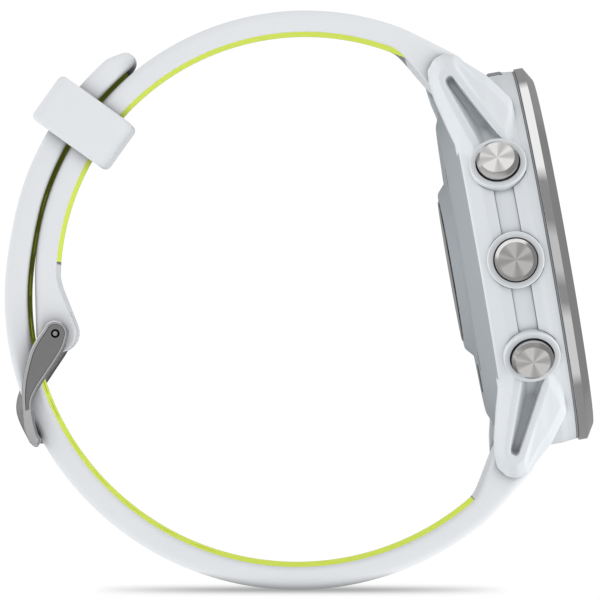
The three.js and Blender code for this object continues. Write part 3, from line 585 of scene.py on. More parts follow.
def display(name, lit_radius):
    """The switched-off display: a slightly lighter round field in a black printed mask."""
    shader = Shader(name, (0.004, 0.004, 0.005), 0.2)
    radius = shader.round_coordinates()[0]
    field = shader.fit(radius, 1, 0, lit_radius - 0.03, lit_radius + 0.03)
    cells = shader.noise(shader.local(), 30, 0)
    lit = shader.mix(cells, (0.008, 0.009, 0.012, 1), (0.014, 0.016, 0.02, 1))
    shader.set("Base Color", shader.mix(field, shader.colour, lit))
    shader.set("Roughness", shader.fit(field, 0.6, 0.45))
    return shader.material


def rubber(name, colour):
    shader = Shader(name, colour, 0.75)
    grain = shader.noise(shader.object_mm(), 7, 3)
    shader.tint(grain, 0.85, 1.15)
    return shader.finish(grain, (0.65, 0.85), 0.01)


def smooth_rubber(name, colour):
    """Moulded rubber with faint long clouds and a satin skin."""
    shader = Shader(name, colour, 0.6)
    cloud = shader.noise(shader.local(), 0.4, 2)
    shader.tint(cloud, 0.94, 1.06)
    return shader.finish(cloud, (0.5, 0.65), 0.005)


def circuit(name):
    """Solder mask with copper tracks just showing under it."""
    shader = Shader(name, (0.015, 0.09, 0.045), 0.4)
    waves = {"Vector": shader.object_mm(), "Scale": 0.9, "Distortion": 6}
    wave = shader.add("ShaderNodeTexWave", waves, "Fac", wave_type="BANDS")
    tracks = shader.math("GREATER_THAN", wave, 0.82)
    shader.set("Base Color", shader.mix(tracks, shader.colour, (0.05, 0.2, 0.08, 1)))
    shader.bump(tracks, 0.03)
    return shader.material


def foil(name):
    shader = Shader(name, (0.55, 0.57, 0.6), 0.35, 0.8)
    creases = shader.noise(shader.object_mm(), 0.5, 4)
    shader.tint(creases, 0.85, 1.1)
    shader.bump(creases, 0.1)
    return shader.material


def plain_metal(name, colour, roughness):
    shader = Shader(name, colour, roughness, 1.0)
    lines = shader.noise(shader.stretch(shader.object_mm(), (1, 9, 1)), 2, 3)
    shader.tint(lines, 0.9, 1.08)
    return shader.finish(lines, (roughness * 0.8, roughness * 1.3), 0.003)


# ---------- finishing a piece ----------


SOFT_EDGE, METAL_EDGE = 38, 25  # degrees between faces above which an edge stays sharp


def piece(made, name, place, body, slot, material, node, sharp=SOFT_EDGE):
    """Stores the working-frame place, moves the mesh to the row frame and hangs it on its body."""
    made.name = name
    made.data.name = name
    mesh = made.data
    count = len(mesh.vertices)
    places = np.zeros(count * 3, np.float32)
    mesh.vertices.foreach_get("co", places)
    local = mesh.attributes.new("local", "FLOAT_VECTOR", "POINT")
    local.data.foreach_set("vector", places)
    mesh.transform(Matrix.Scale(MM, 4) @ place)
    mesh.materials.clear()
    mesh.materials.append(material)
    mesh.polygons.foreach_set("material_index", [0] * len(mesh.polygons))
    mesh.shade_smooth()
    mesh.set_sharp_from_angle(angle=math.radians(sharp))
    mesh.update()
    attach(made, body)
    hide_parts(node)
    return made


# ---------- case ----------

bezel_low, bezel_high = span("bezel", CASE)
CASE_RADIUS = bezel_high[0]
CASE_FRONT = bezel_low[2] - 0.3
REAR_EDGE = 3.35
SIDE_CREASE = 5.28
LUG_INNER = 11.15
BUTTONS = {"light": 149.6, "up": 180.0, "down": 210.4, "start": 30.4, "back": -30.4}
BUTTON_HEIGHT = 7.72
BOSS_RADIUS = 3.5
BOSS_FACE = 24.0
HOLE_RADIUS = 2.77
HOLE_FLOOR = 21.4
BAR_PLACE = CASE.inverted() @ joint_point("strap_swing")
BAR_Y, BAR_Z = BAR_PLACE[1], BAR_PLACE[2]
POCKET_RADIUS = 2.75
CASE_VOXEL = 0.14
CASE_SOFTEN = 2
SCREW_HOLE, SCREW_SEAT = 0.65, 1.4

# The lug seen from the side, as (y, z, corner radius): outline, front shoulder and side face.
LUG_OUTLINE = [
    (12, 3, 0.1), (15.2, 3, 1), (18.2, 2.27, 2), (21.2, 1.53, 2), (23.2, 1.24, 1), (24.9, 1.35, 1),
    (26.2, 2.4, 1), (26.6, 3.6, 1), (26.3, 4.8, 0.8), (23, 8.45, 2), (19.6, 10.9, 1.5), (12, 10.9, 0.1),
]
LUG_SHOULDER = [
    (12, 3.6, 0.1), (15.2, 3.6, 1), (18.2, 2.8, 2), (21.2, 1.95, 2), (23.2, 1.6, 1), (24.7, 1.75, 1),
    (25.8, 2.7, 1), (26.1, 3.7, 1), (25.6, 4.7, 0.8), (21.7, 8.1, 2), (18.6, 10.4, 1.5), (12, 10.4, 0.1),
]
LUG_FACE = [
    (12, 5.4, 0.1), (14.6, 5.1, 1), (17.4, 4.15, 2), (21.2, 2.95, 2), (22.8, 2.5, 1), (23.9, 2.45, 0.8),
    (24.7, 3, 0.8), (24.9, 3.8, 0.8), (24.4, 4.75, 0.8), (19.4, 7.3, 2), (15.8, 9.2, 1.5), (12, 9.6, 0.1),
]
# The recess between a lug's two struts, at the side face and at its floor, which slopes to the front wall.
RECESS_MOUTH = [
    (13.4, 6.45), (22.9, 3.15, 0.6), (23.5, 3.2, 0.3), (23.85, 3.75, 0.3), (23.7, 4.2, 0.5), (14.2, 9.15),
    (13.4, 9.3),
]
RECESS_FLOOR = [
    (13.4, 7.9), (22.6, 3.7, 0.3), (23, 3.65, 0.2), (23.3, 3.85, 0.2), (23.2, 4.1, 0.3), (14.2, 9.0),
    (13.4, 9.15),
]


def case_span(node):
    """Lowest and highest corner, size and middle of a CAD node in the case's frame."""
    low, high = span(node, CASE)
    return low, high, high - low, (low + high) / 2


def four(node):
    """The case_span of each of a node's four numbered copies."""
    return [case_span(f"{node}_{i}") for i in range(1, 5)]


def lug_side(y):
    """How far out the side face of a lug stands: it closes in towards the tip."""
    return 19.45 - (y - 13) * 5.1 / 12.6


def side_loft(layers, corner, steps, sign_x, sign_y):
    """A solid through outlines seen from the side, each at its own distance out, in a quarter of the case."""
    sections = []
    for outline, out in layers:
        flat = rounded(outline, corner, steps)
        sections.append(np.array([(sign_x * out(y), sign_y * y, z) for y, z in flat]))
    return skin(sections)


def lug(sign_x, sign_y):
    """A lug arm lofted from its inner face to its side face through two bevels."""
    layers = [
        (LUG_OUTLINE, lambda y: LUG_INNER),
        (LUG_OUTLINE, lambda y: lug_side(y) - 2.0),
        (LUG_SHOULDER, lambda y: lug_side(y) - 0.95),
        (LUG_FACE, lambda y: lug_side(y)),
    ]
    return side_loft(layers, 0.5, 4, sign_x, sign_y)


def along_x(made, y, z):
    return shifted(move(made, Matrix.Rotation(RIGHT, 4, "Y")), 0, y, z)


def lug_recess(sign_x, sign_y):
    """The tapered recess between the two struts of a lug; near the button its floor is the round wall."""
    wall = 22.3
    layers = [
        (RECESS_FLOOR, lambda y: lug_side(y) - (28.5 - y) * 0.28),
        (RECESS_MOUTH, lambda y: lug_side(y) + 0.05),
        (RECESS_MOUTH, lambda y: CASE_RADIUS),
    ]
    recess = side_loft(layers, 0.05, FINE_STEPS, sign_x, sign_y)
    return cut(recess, rod(wall, 0, CASE_FRONT, segments=SEGMENTS))


def strap_pocket(sign):
    """Room between two lugs for the strap's round end, open to the rear and to the outside."""
    across = LUG_INNER
    round_part = along_x(rod(POCKET_RADIUS, -across, across), sign * BAR_Y, BAR_Z)
    inside, outside = BAR_Y - POCKET_RADIUS, BAR_Y + 6
    ends = sorted((sign * inside, sign * outside))
    rear = block((-across, ends[0], -2), (across, ends[1], BAR_Z))
    ends = sorted((sign * (BAR_Y - 0.2), sign * outside))
    front = block((-across, ends[0], BAR_Z), (across, ends[1], CASE_FRONT + 2))
    return join(round_part, rear, front)


def button_matrix(angle):
    """The frame of a button: z points outwards from the case, y towards the dial."""
    return facing_out(angle, (0, 0, BUTTON_HEIGHT))


def side_channel():
    """The shallow strip round the side between the button rings, with a fine groove along each edge."""
    floor, groove, mouth = 23.2, 23.1, 25.0
    low, high, width = 6.58, 9.04, 0.06
    profile = [
        (groove, low), (mouth, low - 0.08), (mouth, high + 0.08), (groove, high), (groove, high - width),
        (floor, high - width), (floor, low + width), (groove, low + width),
    ]
    half = BAR_Y * math.sin(math.radians(30))
    keep = block((-mouth, -half, 0), (mouth, half, CASE_FRONT))
    return common(revolve(profile), keep)


def on_buttons(build):
    """One copy of a shape in every button's frame."""
    return [move(build(), button_matrix(angle)) for angle in BUTTONS.values()]


def boss():
    return revolve([
        (0, HOLE_FLOOR - 3), (BOSS_RADIUS, HOLE_FLOOR - 3, 0), (BOSS_RADIUS, BOSS_FACE - 0.12, 0),
        (BOSS_RADIUS - 0.12, BOSS_FACE, 0), (0, BOSS_FACE),
    ], closed=False, segments=128)


def boss_groove():
    """The fine groove that outlines a boss."""
    return rod(BOSS_RADIUS + 0.09, 23.15, BOSS_FACE + 3, segments=128)


def button_bore():
    bore = rod(HOLE_RADIUS, HOLE_FLOOR, BOSS_FACE + 2, segments=128)
    return join(bore, rod(1.1, HOLE_FLOOR - 5, HOLE_FLOOR + 1, segments=48))


def case_shell():
    over, shoulder = 0.8, 10.92
    corners = [(x, y) for x in (1, -1) for y in (1, -1)]
    solid = revolve([
        (0, REAR_EDGE - 0.45), (21.5, REAR_EDGE - 0.45, 0.1), (22.8, REAR_EDGE, 0.15),
        (23.4, SIDE_CREASE, 0.6), (23.5, 10.1, 0.8), (23.38, shoulder, 0.6), (23.3, shoulder + over, 0.1),
        (0, shoulder + over),
    ], closed=False)
    join(solid, *[lug(x, y) for x, y in corners])
    cut(solid, *[lug_recess(x, y) for x, y in corners], strap_pocket(1), strap_pocket(-1))
    moulded(solid, CASE_VOXEL, CASE_SOFTEN)
    face = rod(CASE_RADIUS + 4, shoulder, shoulder + 2 * over, segments=48)
    cut(solid, face, side_channel(), *on_buttons(boss_groove))
    overlap = shoulder - 0.01
    rim = revolve([(19, overlap), (23.37, overlap), (23.29, CASE_FRONT, 0.06), (19, CASE_FRONT)])
    join(solid, rim, *on_buttons(boss))
    tips = [along_x(rod(0.5, -LUG_INNER - 1.25, LUG_INNER + 1.25), y, BAR_Z) for y in (BAR_Y, -BAR_Y)]
    lamp_low, lamp_high = span("flashlight_lens", CASE)
    lamp = block(lamp_low - 0.06, lamp_high + (0.06, 2, 0.06), 0.5)
    cavity = join(rod(19.9, 2, CASE_FRONT + 1, segments=SEGMENTS), rod(20.75, 0, 3.1, segments=SEGMENTS))
    cut(solid, cavity, *on_buttons(button_bore), *tips, lamp)
    join(solid, *[screw_post(high[2], middle) for _, high, _, middle in four("rear_screw")])
    return solid


def screw_post(end, middle):
    """A post for a rear screw with the rib that ties it to the case wall."""
    reach, top, ledge = math.hypot(middle[0], middle[1]), end + 0.8, 3.1
    post = shifted(rod(1.6, ledge, top, 0.1), reach)
    rib = block((reach, -0.8, ledge), (20.3, 0.8, top))
    hole = shifted(rod(SCREW_HOLE, 0, end + 0.3), reach)
    return turned(cut(join(post, rib), hole), point_angle(middle))


def bezel_ring():
    low, high = bezel_low[2], bezel_high[2]
    inner = span("lens", CASE)[1][0]
    return revolve([
        (inner - 0.7, low, 0.05), (CASE_RADIUS, low, 0.08), (CASE_RADIUS, low + 1.08, 0.07),
        (CASE_RADIUS - 0.12, low + 1.16, 0.05), (21.8, high, 0.12), (inner + 0.12, high, 0.05),
        (inner + 0.1, high - 1.5, 0), (inner - 0.7, high - 1.5, 0),
    ], segments=384)


def disc(node, edge, dome=0.0):
    """A round plate in the place of a CAD node, with a softened rim and a slight dome."""
    low, high = span(node, CASE)
    radius = high[0]
    profile = [(0, low[2]), (radius, low[2], edge), (radius, high[2] - dome, edge)]
    for share in (0.9, 0.7, 0.4):
        profile.append((radius * share, high[2] - dome * share ** 2, 0))
    return revolve(profile + [(0, high[2])], closed=False, segments=256)


def ring_like(node, inner, edge):
    low, high = span(node, CASE)
    outer = high[0]
    return revolve([(inner, low[2]), (outer, low[2]), (outer, high[2]), (inner, high[2])], edge)


def rear_cover():
    low, high = span("rear_cover", CASE)
    window = span("sensor_window", CASE)[1]
    edge, top = window[0] + 0.1, window[2] + 0.1
    hump, flat, rim = low[2] + 0.12, 1.42, 2.4
    cover = revolve([
        (edge - 0.8, top, 0), (edge, top, 0), (edge, hump, 0.05), (9.8, hump, 0.6), (11.2, flat - 0.04, 0.6),
        (18.2, flat, 0.6), (high[0], rim, 0.3), (22.6, REAR_EDGE - 0.06, 0), (high[0], REAR_EDGE - 0.06, 0),
        (high[0], 2.7, 0), (19.8, 2.7, 0), (19.8, high[2], 0),
        (9.3, high[2], 0), (9.3, 1.6, 0), (edge - 0.8, 1.6, 0),
    ], segments=256)
    tools = []
    for *_, middle in four("rear_screw"):
        seat = join(rod(SCREW_SEAT, -1, 2.2), rod(SCREW_HOLE, 0, 5))
        tools.append(shifted(seat, *middle[:2]))
    _, _, size, middle = case_span("charge_port")
    port = slab(box_outline(size[0] + 0.1, size[1] + 0.1, 0.9, middle[:2]), -1, 6, 0.01)
    return cut(cover, *tools, port, strap_pocket(1), strap_pocket(-1))


def screw(low, middle):
    """A flat-headed screw with a six-lobed socket."""
    head = revolve([
        (0, 6), (0.6, 6, 0.1), (0.6, 2.1, 0), (1.3, 2.15, 0.05), (1.3, low, 0.15), (0, low),
    ], closed=False, segments=64)
    turns = np.arange(96) * TURN / 96
    lobes = 0.55 + 0.09 * np.cos(6 * turns)
    outline = np.stack((lobes * np.cos(turns), lobes * np.sin(turns)), 1)
    socket = stack(outline, [(low - 1, 0), (low + 0.4, 0)])
    return shifted(cut(head, socket), *middle[:2])


def charge_port():
    low, high, size, middle = case_span("charge_port")
    sunk = 0.06
    body = slab(box_outline(size[0], size[1], 0.85, middle[:2]), low[2] + sunk, high[2], 0.12)
    pins = [middle[:2] for *_, middle in four("charge_contact")]
    return cut(body, *[shifted(rod(0.6, low[2] - 1, high[2] + 1), *pin) for pin in pins])


def contact(low, high, size, middle):
    return shifted(rod(size[0] / 2, low[2] + 0.1, high[2], 0.15), *middle[:2])


def lamp_lens():
    """A rounded bar whose outer face stands a little proud of the case wall."""
    low, high, size, middle = case_span("flashlight_lens")
    outline = box_outline(size[0], size[2], 0.55, (0, middle[2]))
    bar = move(slab(outline, -high[1], -low[1], 0.22), Matrix.Rotation(RIGHT, 4, "X"))
    return common(bar, rod(CASE_RADIUS + 0.05, 0, CASE_FRONT, segments=SEGMENTS))


def button_cap():
    """Cap and stem in the button's own frame, with a dished rim chamfer."""
    radius, face, shoulder = 2.6, 25.2, HOLE_FLOOR + 0.7
    return revolve([
        (0, 18.9), (0.95, 18.9, 0.1), (0.95, shoulder, 0), (radius, shoulder, 0.05),
        (radius, face - 0.5, 0.06), (radius - 0.45, face, 0.1), (radius - 0.62, face, 0), (0, face),
    ], closed=False, segments=128)


# ---------- strap ----------

UPPER_RADIUS, TAIL_RADIUS, LOWER_RADIUS = 30.92, 34.15, 33.38
UPPER_THICKNESS, LOWER_THICKNESS, LINING_THICKNESS = 2.65, 2.85, 0.6
TAIL_BLEND = (157, 178)
UPPER_HUB_ANGLE, LOWER_HUB_ANGLE, FLARE = 57, 323.5, 11.5
UPPER_END, TAIL_TIP, PIN_FLARE = 187.8, 124.3, 175.5
FIRST_HOLE, HOLE_PITCH, HOLE_COUNT, USED_HOLE = 159, 9, 11, 4
STRAP_WIDTH, STRAP_END_WIDTH, LINING_WIDTH = 21.6, 20.0, 20.0
HUB_RADIUS, PIN_BOSS_RADIUS = 2.6, 2.45


def arc_radius(centre, radius, angle):
    """Distance from the loop's middle to a circle, along the ray at an angle."""
    along = float(centre @ polar(angle, 1))
    return along + math.sqrt(radius ** 2 - centre @ centre + along ** 2)


def upper_radius(angle):
    return arc_radius(UPPER_ARC, UPPER_RADIUS, angle)


def share_of(value, start, end):
    """How far a value has come from start to end, held between 0 and 1."""
    return min(1, max(0, (value - start) / (end - start)))


def lower_radius(angle):
    """The lower strap lies on its own circle and eases on to the tail circle near the keeper."""
    share = share_of(angle, *TAIL_BLEND)
    tail = arc_radius(UPPER_ARC, TAIL_RADIUS, angle)
    return tail + (arc_radius(LOWER_ARC, LOWER_RADIUS, angle) - tail) * share ** 2 * (3 - 2 * share)


def round_end(centre, radius, inner, outer):
    """Rungs from a band's last rung round a cylinder, as two lists of inner and outer points."""
    ahead = (inner + outer) / 2 - centre
    base = math.atan2(ahead[1], ahead[0])
    paths = []
    for start in (inner, outer):
        offset = start - centre
        reach = np.linalg.norm(offset)
        side = math.copysign(1, ahead[0] * offset[1] - ahead[1] * offset[0])
        touch = math.atan2(offset[1], offset[0]) + side * math.acos(min(1, radius / reach))
        sweep = (base + side * math.pi - touch) * side % TURN * side
        first = centre + radius * direction(touch)
        line = [start + (first - start) * t for t in np.linspace(0.15, 0.85, 5)]
        turns = touch + sweep * np.linspace(0, 0.965, 26)
        line += [centre + radius * direction(a) for a in turns]
        paths.append(line)
    return paths


def relaxed(points, passes=3):
    """Evens out the kinks of a line of points."""
    line = np.array(points)
    for _ in range(passes):
        line[1:-1] = (line[:-2] + 2 * line[1:-1] + line[2:]) / 4
    return line


def raised(points, z=0.0):
    return np.column_stack((points, np.full(len(points), z)))


def taper(angle, hub_angle, end_angle):
    """Share of the full width: full at the lug, narrower at the buckle."""
    start = hub_angle + math.copysign(FLARE, end_angle - hub_angle)
    return 1 - share_of(angle, start, end_angle) * (1 - STRAP_END_WIDTH / STRAP_WIDTH)


def tip_rounding(angle):
    """The tail's end closes to a rounded tongue seen from above."""
    return 1 - 0.45 * quarter_round(angle - TAIL_TIP, 7)


def angles(start, end, step=0.75):
    return np.linspace(start, end, int(abs(end - start) / step) + 1)


USED_ANGLE = FIRST_HOLE + HOLE_PITCH * USED_HOLE
ACROSS = (0, 0, 1)


def strap(thickness, stations, hub, final_end, edges, surface, lined, hub_angle, end_angle, tip):
    """A strap: a band along its arc with a round end at the lug, and another or a thinned tip at its end."""
    shape = [tip_shape(a) if tip else (0, 0) for a in stations]
    inner = [polar(a, surface(a) + rise) for a, (rise, _) in zip(stations, shape)]
    outer = [polar(a, surface(a) + thickness - pared) for a, (_, pared) in zip(stations, shape)]
    paths = round_end(hub, HUB_RADIUS, inner[0], outer[0])
    inner = paths[0][::-1] + inner
    outer = paths[1][::-1] + outer
    if final_end:
        paths = round_end(BUCKLE_PIN, final_end, inner[-1], outer[-1])
        inner += paths[0]
        outer += paths[1]
    inner, outer = relaxed(inner), relaxed(outer)
    turned = [point_angle((a + b) / 2) for a, b in zip(inner, outer)]
    rounding = [tip_rounding(a) if tip else 1 for a in turned]
    widths = [taper(a, hub_angle, end_angle) * r for a, r in zip(turned, rounding)]
    inside = [lined[0] - 0.2 < a < lined[1] + 0.2 for a in turned]
    widths = np.array(widths)
    half = widths * (LINING_WIDTH / 2 + 0.1)
    depth = np.where(inside, LINING_THICKNESS + 0.05, 0.03)
    return band(raised(inner), raised(outer), ACROSS, widths * STRAP_WIDTH / 2, edges, (half, depth))


def quarter_round(reach, size):
    """How far a quarter round of a size has cut in, where reach is the distance from its start."""
    return 1 - math.sqrt(1 - (1 - share_of(reach, 0, size)) ** 2)


def tip_shape(angle):
    """How much of the inner and outer face is pared away towards the tail's end."""
    reach = math.radians(angle - TAIL_TIP) * 37
    chamfer = 0.95 * max(0, 1 - reach / 2.9)
    return quarter_round(reach, 1.7), chamfer + 0.8 * quarter_round(reach, 0.8)


def lining(surface, lined, hub_angle, end_angle, tip):
    """The coloured sheet set into the inner face of a strap."""
    stations = angles(*lined)
    inner = [polar(a, surface(a)) for a in stations]
    outer = [polar(a, surface(a) + LINING_THICKNESS) for a in stations]
    widths = [taper(a, hub_angle, end_angle) * (tip_rounding(a) if tip else 1) for a in stations]
    return band(raised(inner), raised(outer), ACROSS, np.array(widths) * LINING_WIDTH / 2, (0.05, 0.12))


def adjustment_holes():
    """Oblong holes across the lower strap; the one in use is drawn long by the tongue."""
    tools = []
    for index in range(HOLE_COUNT):
        angle = FIRST_HOLE + index * HOLE_PITCH
        length = 10.4 if index == USED_HOLE else 4.5
        middle = lower_radius(angle) + LOWER_THICKNESS / 2
        reach = math.radians(length) * middle
        hole = slab(box_outline(reach, 3, 1.4), -4, 4, 0.01)
        tools.append(move(hole, facing_out(angle, (*polar(angle, middle), 0))))
    return tools


def bar_hole(centre, radius):
    return shifted(rod(radius, -STRAP_WIDTH, STRAP_WIDTH), *centre)


def knob_slot(hub):
    """The slot through which a fingernail reaches the quick release knob."""
    slot = block((0, -0.75, 5.8), (HUB_RADIUS + 1, 0.75, 9.3), 0.2)
    return turned(slot, point_angle(-hub), hub)


# Each strap's inner face, its lined stretch, its first and last angle, and whether it ends in a free tip.
UPPER = (upper_radius, (66, 171), UPPER_HUB_ANGLE, UPPER_END, False)
LOWER = (lower_radius, (127.3, 311), LOWER_HUB_ANGLE, USED_ANGLE, True)


def upper_strap():
    stations = angles(UPPER_HUB_ANGLE + FLARE, PIN_FLARE)
    made = strap(UPPER_THICKNESS, stations, UPPER_HUB, PIN_BOSS_RADIUS, (1.0, 0.2), *UPPER)
    notch = block((-6, -4, -1.6), (6, 2.4, 1.6), 0.3)
    notch = turned(notch, UPPER_END - 180, BUCKLE_PIN)
    return cut(made, bar_hole(UPPER_HUB, 0.95), bar_hole(BUCKLE_PIN, 0.6), notch, knob_slot(UPPER_HUB))


def lower_strap():
    stations = [*angles(LOWER_HUB_ANGLE - FLARE, TAIL_TIP + 5), *angles(TAIL_TIP + 4.8, TAIL_TIP, 0.2)]
    made = strap(LOWER_THICKNESS, stations, LOWER_HUB, None, (0.95, 0.65), *LOWER)
    return cut(made, bar_hole(LOWER_HUB, 0.95), knob_slot(LOWER_HUB), *adjustment_holes())


def keeper():
    """A closed sleeve round both strap layers, with softly rounded rims."""
    inner_size, outer_size = (7.2, 21.2), (11.05, 24.4)
    inner_middle, outer_middle = 33.9, 33.975
    angle, half_length = 144.4, 3.3
    rings = []
    for size, middle, corner in ((inner_size, inner_middle, 0.7), (outer_size, outer_middle, 1.6)):
        w, h = size[0] / 2, size[1] / 2
        corners = [(middle - w, -h), (middle, -h, 0), (middle + w, -h), (middle + w, 0, 0), (middle + w, h),
                   (middle, h, 0), (middle - w, h), (middle - w, 0, 0)]
        flat = rounded(corners, corner)
        rings.append(np.column_stack((flat[:, 0], np.zeros(len(flat)), flat[:, 1])))
    made = band(rings[0], rings[1], (0, 1, 0), half_length, (0.8, 0.35), closed=True)
    return turned(made, angle, UPPER_ARC)


# ---------- buckle ----------

ARM_INSIDE, ARM_OUTSIDE = 10.5, 12.2
HEAD_RADIUS = 1.65
ARM_POINTS = [
    (192.3, 30), (196.8, 32.7), (198.9, 34.2), (201, 35.35), (204.2, 36), (207, 36.35), (208.3, 36.35),
    (209.2, 37.1), (208.4, 37.62), (205.6, 37.7), (201.8, 36.95), (198.7, 36.3), (195.7, 35.5),
    (191.4, 34.15), (188.7, 33.05), (186.4, 31.9),
]
TONGUE_POINTS = [(192, 32.3), (195, 34.3), (198, 36.2), (200.7, 37.35), (203.5, 37.7), (208, 37.65)]


def spline(points, steps, closed):
    """A smooth line through points."""
    count = len(points)
    result = []
    for i in range(count if closed else count - 1):
        pick = [(i + k) % count if closed else min(count - 1, max(0, i + k)) for k in (-1, 0, 1, 2)]
        p0, p1, p2, p3 = (points[k] for k in pick)
        for t in np.arange(steps) / steps:
            result.append(0.5 * (2 * p1 + (p2 - p0) * t + (2 * p0 - 5 * p1 + 4 * p2 - p3) * t ** 2
                                 + (3 * p1 - p0 - 3 * p2 + p3) * t ** 3))
    if not closed:
        result.append(points[-1])
    return np.array(result)


def arm_outline():
    """The side outline of a buckle arm with its round head about the pin."""
    body = [polar(*point) for point in ARM_POINTS]
    lead = polar(UPPER_END, 1)
    forward = np.array((-lead[1], lead[0]))
    head = []
    for a in np.radians((150, 180, 210, 240, 270, 300)):
        head.append(BUCKLE_PIN + HEAD_RADIUS * (forward * math.cos(a) + lead * math.sin(a)))
    return spline(body + head, 6, True)


def buckle_arm(sign):
    """A side arm with rounded rims and a shallow recess that ends short of the crossbar."""
    outline = arm_outline()
    arm = slab(outline, ARM_INSIDE, ARM_OUTSIDE, 0.35)
    rim, depth, end = 0.42, 0.35, 202
    layers = [(ARM_OUTSIDE - depth, rim + 0.1), (ARM_OUTSIDE, rim), (ARM_OUTSIDE + 1, rim)]
    pocket = stack(outline, layers)
    keep = block((0, -40, 0), (60, 0, ARM_OUTSIDE + 2))
    pocket = common(pocket, turned(keep, end))
    return move(cut(arm, pocket), Matrix.Scale(sign, 4, (0, 0, 1)))


def buckle_frame():
    stations = angles(204.4, 208.4, 0.5)
    inner = raised([polar(a, 36.6) for a in stations])
    outer = raised([polar(a, 37.65) for a in stations])
    crossbar = band(inner, outer, ACROSS, ARM_INSIDE + 0.5, (0.02, 0.02))
    rest = block((-1, -1, -1.6), (2.4, 1, 1.6), 0.2)
    rest = turned(rest, 206.5, polar(206.5, 38.05))
    made = join(cut(crossbar, rest), buckle_arm(1), buckle_arm(-1))
    return cut(made, bar_hole(BUCKLE_PIN, 0.55))


def tongue():
    """An eye on the bar and a curved blade that lies across the crossbar."""
    middle = spline([BUCKLE_PIN] + [polar(*point) for point in TONGUE_POINTS], 6, False)
    along = np.gradient(middle, axis=0)
    along /= np.linalg.norm(along, axis=1)[:, None]
    side = np.stack((-along[:, 1], along[:, 0]), 1) * 0.5
    blade = band(raised(middle - side), raised(middle + side), ACROSS, 1.3, (0.35, 0.35))
    eye = shifted(rod(1.3, -1.3, 1.3, 0.25), *BUCKLE_PIN)
    return cut(join(blade, eye), bar_hole(BUCKLE_PIN, 0.6))


def buckle_bar():
    """The bar with its stepped, riveted ends."""
    low, high = span("buckle_bar", LOOP)
    radius, neck, step = 0.5, 0.3, 1.3
    profile = [(0, low[2]), (neck, low[2], 0.05), (neck, low[2] + 0.2, 0), (radius, low[2] + step, 0.02),
               (radius, high[2] - step, 0.02), (neck, high[2] - 0.2, 0), (neck, high[2], 0.05), (0, high[2])]
    return shifted(revolve(profile, closed=False, segments=64), *BUCKLE_PIN)


# ---------- assembly ----------


def build_case():
    shell = polymer("satin_case_polymer", (0.73, 0.75, 0.765), 0.4)
    rear = polymer("rear_polymer", (0.46, 0.49, 0.51), 0.45)
    titanium = turned_metal("turned_titanium", (0.84, 0.84, 0.84), 0.045, 0.03)
    dark = rubber("seal_rubber", (0.045, 0.05, 0.055))
    grey = smooth_rubber("grey_rubber", (0.33, 0.335, 0.345))
    board = circuit("circuit_board")
    gold = plain_metal("gold_plate", (0.83, 0.62, 0.25), 0.25)
    steel = plain_metal("bright_steel", (0.6, 0.6, 0.61), 0.28)
    glass = clear_glass("lens_glass")
    chassis = rubber("dark_moulding", (0.07, 0.075, 0.08))
    window = sensor_glass("sensor_glass", span("sensor_window", CASE)[1][0])
    screen = display("display", 17.6)

    parts = [
        (case_shell(), "case_shell", "case_shell", shell, "case_body"),
        (bezel_ring(), "bezel_ring", "titanium", titanium, "bezel", METAL_EDGE),
        (ring_like("bezel_gasket", 20.3, 0.03), "bezel_gasket_ring", "seal_rubber", grey, "bezel_gasket"),
        (disc("lens", 0.15, 0.03), "lens_glass_disc", "lens_glass", glass, "lens"),
        (disc("display_panel", 0.05), "display_disc", "display", screen, "display_panel"),
        (rear_cover(), "rear_cover_shell", "rear_shell", rear, "rear_cover"),
        (disc("sensor_window", 0.06), "sensor_window_disc", "sensor_glass", window, "sensor_window"),
        (lamp_lens(), "flashlight_cover", "lamp_glass", lamp_cover("lamp_cover"), "flashlight_lens"),
        (charge_port(), "charge_port_body", "seal_rubber", dark, "charge_port"),
    ]
    for i, (place, pin) in enumerate(zip(four("rear_screw"), four("charge_contact")), 1):
        low, _, _, middle = place
        parts.append((screw(low[2], middle), f"rear_screw_{i}_torx", "steel", steel, f"rear_screw_{i}"))
        parts.append((contact(*pin), f"charge_contact_{i}_pin", "gold", gold, f"charge_contact_{i}"))
    made = {name: piece(part, name, CASE, "case", slot, material, node, *edge)
            for part, name, slot, material, node, *edge in parts}
    made["lens_glass_disc"].visible_shadow = False

    button_metal = sunray_metal_painted_wedges("button_titanium", (0.8, 0.79, 0.78), 0.22, 25.15)
    for name, angle in BUTTONS.items():
        place = CASE @ button_matrix(angle)
        button = f"{name}_button"
        piece(button_cap(), f"{button}_face", place, button, "titanium", button_metal, f"{button}_cap",
              METAL_EDGE)

    inside = {
        dark: ["rear_seal", "pressure_vent"] + [f"{name}_button_seal" for name in BUTTONS],
        chassis: ["display_frame", "speaker"] + [f"{name}_button_switch" for name in BUTTONS],
        board: ["main_board", "sensor_board", "flashlight_board"],
        gold: ["gps_antenna"],
        steel: ["vibration_motor", "upper_spring_bar", "lower_spring_bar", "upper_release_pin",
                "lower_release_pin"],
        foil("battery_foil"): ["battery"],
    }
    for material, nodes in inside.items():
        for node in nodes:
            mesh = frame["nodes"][node].data
            mesh.materials.clear()
            mesh.materials.append(material)
    return made["case_shell"]


